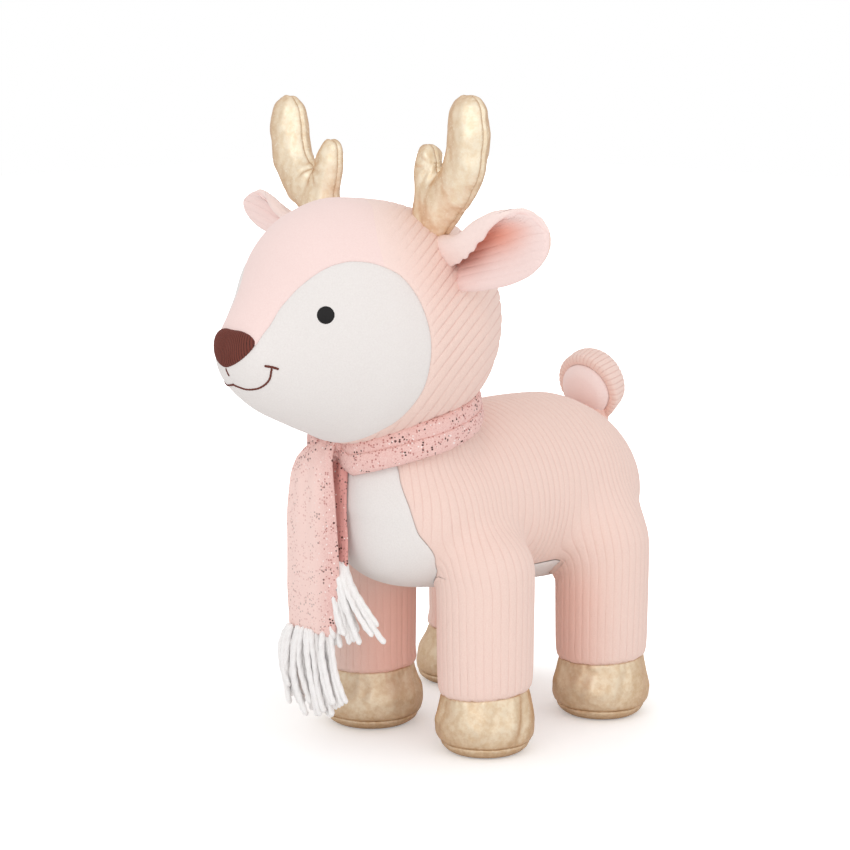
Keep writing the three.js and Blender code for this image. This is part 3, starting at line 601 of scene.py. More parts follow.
def glitterPaint():
    paint, nodes, links, shader = newPaint("glitterCloth", 0.85, 0.15, 0.3)
    speck = withNap(nodes, links, shader, 1500, 0.00022)
    place = nodes.new("ShaderNodeTexCoord")
    colour = mixedColour(nodes, links, valueFrom(nodes, links, speck, 0.3, 0.7), linear(230, 182, 175), linear(246, 211, 204))
    # the tint paints light on the scarf's front end and shade on the one behind it
    colour = tinted(nodes, links, colour, (249, 218, 210), (222, 150, 142))
    thin = nodes.new("ShaderNodeAttribute")
    thin.attribute_name = "tint"
    few = nodes.new("ShaderNodeMapRange")
    few.inputs["To Min"].default_value = 1
    few.inputs["To Max"].default_value = 0.3
    links.new(thin.outputs["Fac"], few.inputs["Value"])
    # small foil dots in loose crowds: pale ones painted as glints, rosy ones, and dark ones painted as foil that
    # catches no light
    for scale, keep, tint, crowd in ((900, 0.88, (252, 234, 230), 0.44), (840, 0.58, (196, 134, 128), 0.42), (780, 0.6, (78, 42, 38), 0.52)):
        dot = nodes.new("ShaderNodeTexVoronoi")
        dot.inputs["Scale"].default_value = scale
        dot.inputs["Randomness"].default_value = 0.85
        links.new(place.outputs["Object"], dot.inputs["Vector"])
        parts = nodes.new("ShaderNodeSeparateColor")
        links.new(dot.outputs["Color"], parts.inputs["Color"])
        cloud = nodes.new("ShaderNodeTexNoise")
        cloud.inputs["Scale"].default_value = 90 + scale / 10
        cloud.inputs["Detail"].default_value = 1
        links.new(place.outputs["Object"], cloud.inputs["Vector"])
        chosen = nodes.new("ShaderNodeMath")
        chosen.operation = "MULTIPLY"
        links.new(valueFrom(nodes, links, parts.outputs[0], keep, keep + 0.02), chosen.inputs[0])
        links.new(valueFrom(nodes, links, cloud.outputs[0], crowd, crowd + 0.04), chosen.inputs[1])
        near = nodes.new("ShaderNodeMapRange")
        near.inputs["From Min"].default_value = 0.42
        near.inputs["From Max"].default_value = 0.34
        links.new(dot.outputs["Distance"], near.inputs["Value"])
        mask = nodes.new("ShaderNodeMath")
        mask.operation = "MULTIPLY"
        links.new(chosen.outputs[0], mask.inputs[0])
        links.new(near.outputs[0], mask.inputs[1])
        kept = nodes.new("ShaderNodeMath")
        kept.operation = "MULTIPLY"
        links.new(mask.outputs[0], kept.inputs[0])
        links.new(few.outputs[0], kept.inputs[1])
        colour = mixedColour(nodes, links, kept.outputs[0], colour, linear(*tint))
    links.new(colour, shader.inputs["Base Color"])
    return paint


paints = {
    # the deep tint of the corduroy is the painted shade between the legs
    "corduroy": clothPaint("corduroy", (246, 219, 208), (242, 211, 200), 1600, 0.0002, 0.2,
                           ribs=(236, 197, 186), tints=((250, 229, 223), (255, 186, 168))),
    # the deep tint of the smooth pink is the painted shade in the ear's fold
    "smooth_pink": clothPaint("smoothPink", (247, 223, 218), (244, 218, 213), 1300, 0.00012, 0.2,
                              tints=((251, 233, 229), (236, 160, 138))),
    "smooth_white": clothPaint("smoothWhite", (236, 231, 228), (231, 225, 222), 1300, 0.00012, 0.15),
    "gold_foil_cloth": foilPaint(),
    "brown_thread": threadPaint("brownThread", (115, 55, 43), (50, 20, 15), 0.6),
    "black_thread": threadPaint("blackThread", (22, 19, 20), (5, 4, 4), 0.5),
    "glitter_cloth": glitterPaint(),
    "white_yarn": clothPaint("whiteYarn", (254, 252, 251), (246, 242, 240), 1800, 0.0003, 0.3),
}


# Gives a piece its finish and its part in the motion, and takes the plain solids it stands for away
def finished(piece, finish, nodes, body=None):
    piece.data.materials.append(paints[finish])
    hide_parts(*nodes)
    if body:
        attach(piece, body)
    return piece


body = {
    "ahead": 87, "long": 178.5, "wide": 94, "low": 64, "tall": 90, "tips": (0.5, 0.42),
    "sections": [
        (0.016, 0.36, 0.72, 0.33), (0.06, 0.64, 0.84, 0.2), (0.137, 0.85, 0.89, 0.13),
        (0.246, 0.94, 0.935, 0.09), (0.393, 0.95, 0.992, 0.05), (0.557, 0.965, 1.014, 0.02),
        (0.721, 0.985, 1.0, 0), (0.836, 0.905, 0.928, 0.03), (0.923, 0.7, 0.8, 0.13),
        (0.978, 0.44, 0.655, 0.27)],
    "neck": {"y": -55, "foot": 118, "top": 146, "radius": 29.5, "k": 9},
    "grain": 3.0,
    # the white panel: its half width along the body, how much narrower it is at a height, and how high it reaches
    "bellyPlan": [(-0.05, 33.5), (0.06, 33.4), (0.12, 33.2), (0.2, 32), (0.3, 31), (0.48, 33), (0.58, 34),
                  (0.68, 30), (0.8, 20), (0.9, 8), (1.1, -6)],
    "bellyDrop": [(60, 0), (80, 0), (93, 0.1), (97, 0.6), (101, 1.6), (106, 3.7), (113, 5.3), (118.7, 7.1), (126, 10.4),
                  (131, 12.5), (134, 13.4), (146, 21), (160, 33)],
    "bellySide": [(-0.05, 260), (0.05, 200), (0.08, 140), (0.1, 112), (0.12, 96), (0.16, 90.5), (0.2, 88), (0.3, 84),
                  (0.48, 80), (0.58, 80.5), (0.8, 78), (1.1, 60)],
}
legs = {
    "radius": [(28.3, 20.2), (29.6, 21.2), (31.5, 21.8), (38, 22.2), (50, 22.4), (67.3, 22.6), (80, 22.7), (84, 22.6)],
    "hip": 84, "foot": 28.3, "ribs": 36,
    "fillet": {"front": 11, "rear": 16}, "crease": 4.5,
    "nudge": {"front_left": (0.85, 0.85), "front_right": (-2.6, -2.3), "rear_left": (1.1, 1.1), "rear_right": (-0.9, -0.9)},
    "slim": {"front_left": 0, "front_right": 0.045, "rear_left": 0, "rear_right": 0.08},
}
legNames = ("front_left", "front_right", "rear_left", "rear_right")
hips = {name: np.array(joints["hip_" + name]["pos_m"]) / mm - standing for name in legNames}
for name in legNames:
    hips[name][:2] += legs["nudge"][name]
legRadius = smoothCurve(*zip(*legs["radius"]))


def legDistance(co, hip, slim=0.0):
    dx, dy, dz = co[:, 0] - hip[0], co[:, 1] - hip[1], co[:, 2] - legs["hip"]
    around = np.hypot(dx, dy)
    side = np.stack([dx / around, dy / around, np.zeros(len(co))], axis=1)
    ball = np.sqrt(around ** 2 + dz ** 2)
    cap = np.stack([dx, dy, dz], axis=1) / ball[:, None]
    above = dz > 0
    far = np.where(above, ball - legs["radius"][-1][1], around - legRadius(co[:, 2]) * (1 - slim * eased(co[:, 2], 29, 37) * eased(-co[:, 2], -84, -70)))
    out = np.where(above[:, None], cap, side)
    under = legs["foot"] - co[:, 2] > far
    far = np.where(under, legs["foot"] - co[:, 2], far)
    out[under] = (0, 0, -1)
    return far, out


def torsoAndLegs(co, tree, form):
    far, out = distanceTo(tree, form, co)
    neck = body["neck"]
    dx, dy = co[:, 0], co[:, 1] - neck["y"]
    around = np.maximum(np.hypot(dx, dy), 1e-6)
    tube = np.maximum(around - neck["radius"], co[:, 2] - neck["top"])
    side = np.stack([dx / around, dy / around, np.zeros(len(co))], axis=1)
    side[co[:, 2] - neck["top"] > around - neck["radius"]] = (0, 0, 1)
    below = neck["foot"] - co[:, 2]
    side[below > tube] = (0, 0, -1)
    tube = np.maximum(tube, below)
    far, share = blended(far, tube, neck["k"])
    out = out * (1 - share)[:, None] + side * share[:, None]
    shares = {}
    for name, hip in hips.items():
        leg, way = legDistance(co, hip, legs["slim"][name])
        outer = (np.abs(co[:, 0]) - abs(hip[0])) + 6
        fillet = legs["fillet"]["rear" if hip[1] > 0 else "front"]
        k = legs["crease"] + (fillet - legs["crease"]) * eased(outer, -6, 16)
        far, shares[name] = blended(far, leg, k)
        out = out * (1 - shares[name])[:, None] + way * shares[name][:, None]
    return far, out, shares


# How far across the cloth a point of the body lies: ribs run up and down its sides and fan out
# round the rump and the chest, and run lengthwise on the legs
fan = {"rear": 45, "front": -45, "beyond": 60, "radius": 107}


def acrossBody(co):
    x, y = np.abs(co[:, 0]), co[:, 1]
    reach = x + fan["beyond"]
    behind = np.maximum(y - fan["rear"], 0)
    before = np.maximum(fan["front"] - y, 0)
    return (np.clip(y, fan["front"], fan["rear"]) + fan["radius"] * np.arctan2(behind, reach)
            - fan["radius"] * np.arctan2(before, reach))


def aroundLeg(co, hip):
    outward = 1 if hip[0] > 0 else -1
    # above the hip the ribs turn about a place deeper in the body
    deeper = min(abs(hip[0]), 33) - abs(hip[0])
    middle = abs(hip[0]) + deeper * eased(co[:, 2], 76, 104)
    turn = np.arctan2(co[:, 1] - hip[1], outward * co[:, 0] - middle)
    return hip[1] + legs["ribs"] * corduroy["pitch"] * turn / (2 * math.pi)


# The hem of a leg runs a little askew
def hemTilt(co, hip, amount):
    near = np.exp(-((co[:, 2] - 28) / 9) ** 2)
    a = math.radians(camera["azimuth"])
    side = (co[:, 0] - hip[0]) * math.cos(a) + (co[:, 1] - hip[1]) * math.sin(a)
    return amount * side / 21 * near


hemTilts = {"front_left": 1.5, "front_right": 0.6, "rear_left": 0.9, "rear_right": -0.5}


# Painted shade: the sides that the legs turn to each other, where shade falls between them, are painted deeper and
# warmer, as light that went through the cloth warms that shade
def paintedLegShade(cloth, hip, name):
    ways = {"front_left": (-1, 0.3), "front_right": (0.8, 0.2), "rear_left": (-0.72, -0.69), "rear_right": (0.8, -0.5)}
    toward = (cloth.co[:, :2] - hip[:2]) @ unit(np.array(ways[name])) / 22
    most = {"front_left": 0.3, "front_right": 0.5, "rear_left": 0.36, "rear_right": 0.45}[name]
    return most * eased(toward, -0.4, 0.9) * eased(-cloth.co[:, 2], -85, -60)


def buildTorsoAndLegs():
    form, tree = treeOf(stuffedForm(body))
    pickNone()
    parts = [stuffedForm(body)]
    neck = body["neck"]
    bpy.ops.mesh.primitive_cylinder_add(
        vertices=64, radius=neck["radius"] * mm, depth=(neck["top"] - neck["foot"]) * mm,
        location=(0, neck["y"] * mm, (neck["top"] + neck["foot"]) / 2 * mm))
    parts.append(bpy.context.object)
    for hip in hips.values():
        bpy.ops.mesh.primitive_cylinder_add(
            vertices=64, radius=22.5 * mm, depth=(legs["hip"] - legs["foot"]) * mm,
            location=(hip[0] * mm, hip[1] * mm, (legs["hip"] + legs["foot"]) / 2 * mm))
        parts.append(bpy.context.object)
        bpy.ops.mesh.primitive_uv_sphere_add(segments=48, ring_count=24, radius=24 * mm,
                                             location=Vector(hip) * mm)
        parts.append(bpy.context.object)
    pick(*parts)
    bpy.ops.object.join()
    whole = bpy.context.object
    bpy.ops.object.transform_apply(location=True, rotation=True, scale=True)
    withModifier(whole, "REMESH", mode="VOXEL", voxel_size=body["grain"] * mm)
    cloth = clothFrom(whole)
    print("stage: body base", len(cloth.co))
    cloth = onto(cloth, lambda co: torsoAndLegs(co, tree, form))
    co = cloth.co
    shares = torsoAndLegs(co, tree, form)[2]
    along = (co[:, 1] + body["ahead"]) / body["long"]
    plan = smoothCurve(*zip(*body["bellyPlan"]))(along) - np.abs(co[:, 0])
    plan = plan - smoothCurve(*zip(*body["bellyDrop"]))(co[:, 2])
    side = np.interp(along, *zip(*body["bellySide"])) - co[:, 2]
    belly = np.minimum(plan, side)
    overlap = np.clip(6 - np.abs(plan - side), 0, 6)
    belly = belly - overlap ** 2 / 24
    # the panel ends where a leg is sewn on
    for name, hip in hips.items():
        around = np.hypot(co[:, 0] - hip[0], co[:, 1] - hip[1])
        above = np.maximum(co[:, 2] - legs["hip"], 0) * 0.4
        sewn = 21.6 + legs["fillet"][name.split("_")[0]] / 4 + 1.5 * eased(co[:, 2], 84, 93)
        legSide = np.hypot(around, above) - sewn
        overlap = np.clip(5 - np.abs(belly - legSide), 0, 5)
        belly = np.minimum(belly, legSide) - overlap ** 2 / 20 * eased(co[:, 2], 85, 90)
    cloth.values["belly"] = belly
    for name in legNames:
        hip = hips[name]
        beside = np.hypot(co[:, 0] - hip[0], co[:, 1] - hip[1])
        cloth.values[name] = np.minimum(np.minimum((shares[name] - 0.5) * 8, legs["hip"] - co[:, 2]), 34 - beside)
    beside = np.min([np.hypot(co[:, 0] - hip[0], co[:, 1] - hip[1]) for hip in hips.values()], axis=0)
    cloth.values["leg"] = eased(-beside, -42, -24) * eased(-co[:, 2], -142, -74)
    cloth = cutAlong(cloth, "belly", (-1.7, -0.8, -0.3, 0, 0.3, 0.8, 1.7))
    for name in legNames:
        cloth = cutAlong(cloth, name, (0,))
    middle = {k: v[cloth.tri].mean(1) for k, v in cloth.values.items()}
    inLeg = np.max([middle[name] for name in legNames], axis=0) > 0
    white = (middle["belly"] > 0) & ~inLeg
    return cloth, middle, white, inLeg


def finishTorsoAndLegs():
    cloth, middle, white, inLeg = buildTorsoAndLegs()
    made = {}
    belly = cloth.part(white)
    belly.co = belly.co - (seamDip(belly.values["belly"]) - 0.35)[:, None] * belly.no
    made["belly"] = pieceFrom(belly, "bellyPanel")
    torso = cloth.part(~white & ~inLeg)
    wobble = lambda co: 0.5 * uneven(co, 60, 3)
    first = acrossBody(torso.co)
    nearest = np.zeros(len(first))
    best = np.full(len(first), 1e9)
    for hip in hips.values():
        gap = np.hypot(torso.co[:, 0] - hip[0], torso.co[:, 1] - hip[1])
        turned = aroundLeg(torso.co, hip)
        nearest = np.where(gap < best, turned, nearest)
        best = np.minimum(gap, best)
    torso.values["across"] = first + (nearest - first) * torso.values["leg"] + wobble(torso.co)
    torso = ribbed(torso, 0.4, lambda c: eased(-c.values["belly"], 0.2, 2.2))
    torso.co = torso.co - seamDip(torso.values["belly"])[:, None] * torso.no
    made["torso"] = pieceFrom(torso, "torso")
    print("stage: torso", len(torso.tri))
    for name in legNames:
        hip = hips[name]
        leg = cloth.part(inLeg & (middle[name] > 0))
        leg.values["inner"] = leg.co[:, 1] - hip[1]
        leg = cutAlong(leg, "inner", (0,))
        # the ribs start and end at the inside seam, so the two sides of it get corners of their own
        behind = leg.values["inner"][leg.tri].mean(1) > 0
        onSeam = (np.abs(leg.values["inner"]) < 1e-6) & (np.sign(hip[0]) * (leg.co[:, 0] - hip[0]) < 0)
        double = np.nonzero(onSeam)[0]
        copy = np.arange(len(leg.co))
        copy[double] = len(leg.co) + np.arange(len(double))
        tri = leg.tri.copy()
        tri[~behind] = copy[tri[~behind]]
        values = {k: np.concatenate([v, v[double]]) for k, v in leg.values.items()}
        leg = Cloth(np.concatenate([leg.co, leg.co[double]]), np.concatenate([leg.no, leg.no[double]]),
                    tri, **values)
        turned = aroundLeg(leg.co, hip)
        whole = legs["ribs"] * corduroy["pitch"]
        turned[double] = hip[1] + whole / 2
        turned[-len(double):] = hip[1] - whole / 2
        first = acrossBody(leg.co)
        leg.values["across"] = first + (turned - first) * leg.values["leg"] + wobble(leg.co)
        gap = lambda c: np.where(np.sign(hip[0]) * (c.co[:, 0] - hip[0]) < 0, np.abs(c.values["inner"]), 40)
        leg = ribbed(leg, 0.34, lambda c: eased(c.co[:, 2], 29, 32) * eased(gap(c), 0.2, 2))
        leg.co = leg.co - seamDip(gap(leg), 0.5)[:, None] * leg.no
        # painted shade between the legs, carried by the attribute tint
        leg.values["tint"] = -paintedLegShade(leg, hip, name)
        leg.co[:, 2] += hemTilt(leg.co, hip, hemTilts[name])
        made[name] = pieceFrom(leg, "leg_" + name)
    return made


bodyPieces = finishTorsoAndLegs()
finished(bodyPieces["torso"], "corduroy", ["body"], "torso")
finished(bodyPieces["belly"], "smooth_white", ["belly_panel"], "torso")
for name in legNames:
    piece = finished(bodyPieces[name], "corduroy", ["leg_" + name])
    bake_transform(piece)
print("stage: body and legs")


head = {
    "ahead": 107, "long": 140.3, "wide": 113.5, "low": 147, "tall": 110, "tips": (0.37, 0.49),
    "sections": [
        (0.014, 0.162, 0.459, 0.318), (0.042, 0.292, 0.533, 0.257), (0.085, 0.371, 0.611, 0.201),
        (0.141, 0.467, 0.724, 0.149), (0.218, 0.642, 0.877, 0.1), (0.317, 0.812, 0.96, 0.042),
        (0.437, 0.935, 0.998, -0.013), (0.577, 0.981, 0.984, -0.005), (0.718, 0.938, 0.938, 0.018),
        (0.838, 0.777, 0.882, 0.069), (0.93, 0.552, 0.788, 0.174), (0.979, 0.319, 0.67, 0.276)],
    "at": (0, -45, 0), "turn": -8, "grain": 2.8,
    # the white face from the side, as shares of the length ahead and of the height
    "face": [(1.08, -0.119), (1.08, 0.406), (0.985, 0.421), (0.945, 0.454), (0.921, 0.489), (0.887, 0.53),
             (0.846, 0.592), (0.809, 0.638), (0.777, 0.678), (0.73, 0.725), (0.678, 0.758), (0.626, 0.775),
             (0.591, 0.778), (0.539, 0.772), (0.489, 0.753), (0.438, 0.721), (0.4, 0.67), (0.369, 0.602),
             (0.346, 0.522), (0.331, 0.442), (0.325, 0.338), (0.327, 0.253), (0.347, 0.175), (0.377, 0.108),
             (0.416, 0.067), (0.47, 0), (0.52, -0.119)],
    # the smooth forehead from above: how far behind the muzzle it reaches at each half width
    "forehead": [(0, -34), (15.7, -39), (29, -47), (37, -51), (44, -52.5), (60, -54)],
    "ribWay": (-0.525, -0.579, 0.6), "ribScale": 1.02,
}
turnHead = np.array([[math.cos(math.radians(head["turn"])), -math.sin(math.radians(head["turn"])), 0],
                     [math.sin(math.radians(head["turn"])), math.cos(math.radians(head["turn"])), 0],
                     [0, 0, 1]])


def headPiece(cloth, name):
    cloth.co = cloth.co @ turnHead.T + np.array(head["at"])
    return pieceFrom(cloth, name)


# Signed distance from points of a plane to a closed outline, positive inside
def insideOutline(points, outline):
    best = np.full(len(points), 1e9)
    odd = np.zeros(len(points), bool)
    for a, b in zip(outline, np.roll(outline, -1, axis=0)):
        run, off = b - a, points - a
        t = np.clip(off @ run / (run @ run), 0, 1)
        best = np.minimum(best, np.hypot(*(off - t[:, None] * run).T))
        crosses = (a[1] > points[:, 1]) != (b[1] > points[:, 1])
        if a[1] != b[1]:
            odd ^= crosses & (points[:, 0] < a[0] + (points[:, 1] - a[1]) * run[0] / run[1])
    return np.where(odd, best, -best)


# A closed outline rounded through its corners
def roundedOutline(corners, steps=10):
    corners = np.array(corners, float)
    before, after, beyond = np.roll(corners, 1, 0), np.roll(corners, -1, 0), np.roll(corners, -2, 0)
    t = (np.arange(steps) / steps)[:, None, None]
    points = 0.5 * (2 * corners + (after - before) * t
                    + (2 * before - 5 * corners + 4 * after - beyond) * t ** 2
                    + (3 * corners - before - 3 * after + beyond) * t ** 3)
    return points.transpose(1, 0, 2).reshape(-1, 2)


headForm, headTree = treeOf(stuffedForm(head))


def buildHead():
    whole = stuffedForm(head)
    withModifier(whole, "REMESH", mode="VOXEL", voxel_size=head["grain"] * mm)
    cloth = clothFrom(whole)
    cloth = onto(cloth, lambda co: distanceTo(headTree, headForm, co), rounds=2, relax=3)
    co = cloth.co
    outline = roundedOutline([(-ahead * head["ahead"], head["low"] + up * head["tall"])
                              for ahead, up in head["face"]])
    gap = insideOutline(co[:, 1:], outline)
    cloth.values["face"] = gap
    edge = smoothCurve(*zip(*head["forehead"]))(np.abs(co[:, 0]))
    cloth.values["forehead"] = np.minimum(edge - co[:, 1], (co[:, 2] - 190) * 0.8)
    cloth.values["middle"] = co[:, 0].copy()
    cloth = cutAlong(cloth, "face", (-1.6, -0.8, -0.3, 0, 0.3, 0.8, 1.6))
    cloth = cutAlong(cloth, "forehead", (0,))
    cloth = cutAlong(cloth, "middle", (-0.9, -0.35, 0, 0.35, 0.9))
    middle = {k: v[cloth.tri].mean(1) for k, v in cloth.values.items()}
    inFace = middle["face"] > 0
    brow = ~inFace & (middle["forehead"] > 0)
    made = {}
    for name, keep in (("left", middle["middle"] > 0), ("right", middle["middle"] < 0)):
        face = cloth.part(inFace & keep)
        seam = seamDip(face.values["middle"], 0.45, 0.7) * eased(-face.co[:, 2], -192, -176)
        face.co = face.co - (seamDip(face.values["face"], 0.8, 0.8) - 0.3 + seam)[:, None] * face.no
        made["face_" + name] = headPiece(face, "face_" + name)
    forehead = cloth.part(brow)
    forehead.co = forehead.co - seamDip(forehead.values["face"], 0.7, 0.8)[:, None] * forehead.no
    made["forehead_panel"] = headPiece(forehead, "forehead")
    back = cloth.part(~inFace & ~brow)
    way = np.array(head["ribWay"])
    mirrored = back.co.copy()
    mirrored[:, 0] = np.abs(back.co[:, 0])
    back.values["across"] = mirrored @ way * head["ribScale"] + 0.4 * uneven(back.co, 50, 8)
    back = ribbed(back, 0.55, lambda c: eased(-c.values["face"], 0.2, 2.2) * eased(-c.values["forehead"], 0, 30)
                  * eased(np.abs(c.values["middle"]), 0.1, 1.5))
    dip = seamDip(back.values["face"], 0.7, 0.8)
    dip += seamDip(back.values["middle"], 0.5, 0.8) * eased(-back.values["forehead"], 0, 14)
    back.co = back.co - dip[:, None] * back.no
    back.values["tint"] = 0.6 * (1 - eased(-back.values["forehead"], 0, 26))
    made["head"] = headPiece(back, "headBack")
    print("stage: head", len(back.tri))
    return made


headPieces = buildHead()
for key, finish in (("face_left", "smooth_white"), ("face_right", "smooth_white"),
                    ("forehead_panel", "smooth_pink"), ("head", "corduroy")):
    finished(headPieces[key], finish, [key], "head")


# Where the head's skin lies out from a point inside it, and which way is out there
def onHead(start, ways):
    places, outs = [], []
    for way in ways:
        spot, normal, face, far = headTree.ray_cast(Vector(start), Vector(way))
        places.append(spot)
        outs.append(normal)
    return np.array([tuple(p) for p in places]), unit(np.array([tuple(n) for n in outs]))


def ballWay(across, up):
    a, u = np.radians(across), np.radians(up)
    return np.stack([np.sin(a) * np.cos(u), -np.cos(a) * np.cos(u), np.sin(u)], axis=1)


# Grid of corners joined into triangles; round is whether the last column meets the first
def gridFaces(rows, columns, round=False):
    i, k = np.meshgrid(np.arange(rows - 1), np.arange(columns if round else columns - 1), indexing="ij")
    a, b = i * columns + k, i * columns + (k + 1) % columns
    c, d = b + columns, a + columns
    return np.concatenate([np.stack([a, b, c], -1).reshape(-1, 3), np.stack([a, c, d], -1).reshape(-1, 3)])


# A stitched pad on the head: an outline in degrees round a point inside, domed, with satin threads
def stitchedPad(spec, name):
    outline = roundedOutline(spec["outline"], 8)
    middle = outline.mean(0)
    rings = np.concatenate([np.linspace(0.04, 0.9, 13), (0.95, 0.985, 1.0)])
    points = middle + (outline - middle)[None] * rings[:, None, None]
    points = np.concatenate([points.reshape(-1, 2), [middle]])
    places, outs = onHead(spec["inside"], ballWay(points[:, 0], points[:, 1]))
    share = np.append(np.repeat(rings, len(outline)), 0)
    count = len(outline)
    rim = (len(rings) - 1) * count
    tri = gridFaces(len(rings), count, True)
    last = len(points) - 1
    fan = np.stack([np.full(count, last), (np.arange(count) + 1) % count, np.arange(count)], axis=1)
    tri = np.concatenate([tri, fan])
    outward = unit(outs)
    flat = pointingOut(places, tri)
    if (flat * outward).sum() < 0:
        tri = tri[:, ::-1]
    cloth = Cloth(places, outward, tri, share=share, across=points[:, 0] * spec["spread"])
    levels = np.arange(-60, 60, spec["thread"] / 4)
    cloth = cutAlong(cloth, "across", levels)
    share = cloth.values["share"]
    round = np.sqrt(np.clip(1 - share ** spec["square"], 0, 1))
    ridge = np.abs(np.sin(math.pi * cloth.values["across"] / spec["thread"]))
    loose = 0.5 + 0.5 * uneven(cloth.co * (1, 1, 0.2), spec["thread"] * 3, 4)
    height = -spec["sunk"] + (spec["high"] + spec["sunk"]) * round + spec["ridge"] * (ridge - 0.6) * (0.7 + 0.6 * loose) * (share < 0.995)
    cloth.co = cloth.co + height[:, None] * cloth.no
    cloth.values["rib"] = ridge
    return headPiece(cloth, name)


nose = {
    "inside": (0, -92, 190), "thread": 0.95, "spread": 0.24, "high": 2.3, "sunk": 0.8, "ridge": 0.32, "square": 5,
    "outline": [(0, 48), (27, 46), (46, 39), (56, 30), (57, 23), (53, 15), (45, 6), (35, -2), (23, -9), (11, -14),
                (0, -16), (-11, -14), (-23, -9), (-35, -2), (-45, 6), (-53, 15), (-57, 23), (-56, 30), (-46, 39), (-27, 46)],
}
finished(stitchedPad(nose, "nosePad"), "brown_thread", ["nose"], "head")


# The front of the head at a side and a height
def frontAt(x, z):
    spot, normal, face, far = headTree.ray_cast(Vector((x, -200, z)), Vector((0, 1, 0)))
    return np.array(spot), np.array(normal)


eye = {"x": 34.4, "z": 210, "wide": 8.7, "high": 0.9, "sunk": 0.5, "thread": 0.5, "ridge": 0.1}


def makeEye(side, name):
    at, out = frontAt(side * eye["x"], eye["z"])
    up = unit(np.array((0, 0, 1.0)) - out[2] * out)
    right = np.cross(up, out)
    rings = np.concatenate([np.linspace(0.06, 0.84, 9), (0.91, 0.96, 0.99, 1.0)])
    turn = np.linspace(0, 2 * math.pi, 48, endpoint=False)
    flat = np.stack([rings[:, None] * np.cos(turn), rings[:, None] * np.sin(turn)], axis=-1).reshape(-1, 2)
    flat = np.concatenate([flat, [(0, 0)]]) * eye["wide"] / 2
    start = at + flat[:, :1] * right + flat[:, 1:] * up + 8 * out
    spots = [headTree.ray_cast(Vector(s), Vector(-out)) for s in start]
    places = np.array([tuple(s[0]) for s in spots])
    tri = gridFaces(len(rings), 48, True)
    last = len(flat) - 1
    fan = np.stack([np.full(48, last), (np.arange(48) + 1) % 48, np.arange(48)], axis=1)
    tri = np.concatenate([tri, fan])
    outs = np.repeat(out[None], len(places), axis=0)
    if (pointingOut(places, tri) * outs).sum() < 0:
        tri = tri[:, ::-1]
    share = np.append(np.repeat(rings, 48), 0)
    cloth = Cloth(places, outs, tri, share=share, across=flat[:, 0])
    cloth = cutAlong(cloth, "across", np.arange(-6, 6, eye["thread"] / 4))
    share = cloth.values["share"]
    ridge = np.abs(np.sin(math.pi * cloth.values["across"] / eye["thread"]))
    height = -eye["sunk"] + (eye["high"] + eye["sunk"]) * np.sqrt(np.clip(1 - share ** 3.2, 0, 1))
    height += eye["ridge"] * (ridge - 0.6) * (share < 0.99)
    cloth.co = cloth.co + height[:, None] * cloth.no
    cloth.values["rib"] = ridge
    return headPiece(cloth, "eye_" + name)


for side, name in ((1, "left"), (-1, "right")):
    finished(makeEye(side, name), "black_thread", ["eye_" + name], "head")

mouth = {
    "thread": 0.5,
    # from the middle out to one side: how far out and how high
    "smile": [(0, 177.9), (1.5, 177.6), (3.3, 177.3), (7.5, 176.6), (11.9, 177.2), (15.6, 179.1), (18.4, 182.4), (19.9, 186.9)],
    "bar": [(18.2, 188.0), (19.9, 187.4), (21.5, 186.4)],
    "drop": [(0, 185.6), (0, 181.8)],
}


# A thread laid along places on the head, twisted like the embroidery it stands for
def laidThread(places, outs, radius, name, step=0.18, twist=1.5, plies=2, deep=0.1, sides=12):
    places = np.array(places)
    run = np.concatenate([[0], np.cumsum(np.linalg.norm(np.diff(places, axis=0), axis=1))])
    count = max(8, int(run[-1] / step))
    at = np.linspace(0, run[-1], count)
    line = np.stack([np.interp(at, run, places[:, k]) for k in range(3)], axis=1)
    out = unit(np.stack([np.interp(at, run, np.array(outs)[:, k]) for k in range(3)], axis=1))
    way = unit(np.gradient(line, axis=0))
    side = unit(np.cross(way, out))
    turn = np.linspace(0, 2 * math.pi, sides, endpoint=False)
    thin = np.sqrt(np.clip(np.minimum(at, run[-1] - at) / (radius * 0.9), 0.02, 1))
    rope = 1 + deep * np.sin(plies * (turn[None] + 2 * math.pi * at[:, None] / twist / plies))
    reach = radius * thin[:, None] * rope
    co = (line[:, None] + reach[..., None] * (np.cos(turn)[None, :, None] * side[:, None]
                                              + np.sin(turn)[None, :, None] * out[:, None])).reshape(-1, 3)
    tri = gridFaces(count, sides, True)
    first, final = len(co), len(co) + 1
    co = np.concatenate([co, line[:1], line[-1:]])
    k = np.arange(sides)
    tri = np.concatenate([tri, np.stack([np.full(sides, first), (k + 1) % sides, k], 1),
                          np.stack([np.full(sides, final), (count - 1) * sides + k, (count - 1) * sides + (k + 1) % sides], 1)])
    if volumeOf(co, tri) < 0:
        tri = tri[:, ::-1]
    return Cloth(co, pointingOut(co, tri), tri)


def volumeOf(co, tri):
    a, b, c = co[tri[:, 0]], co[tri[:, 1]], co[tri[:, 2]]
    return (a * np.cross(b, c)).sum() / 6


def together(*cloths):
    first, total = 0, []
    for cloth in cloths:
        total.append(cloth.tri + first)
        first += len(cloth.co)
    return Cloth(np.concatenate([c.co for c in cloths]), np.concatenate([c.no for c in cloths]),
                 np.concatenate(total))


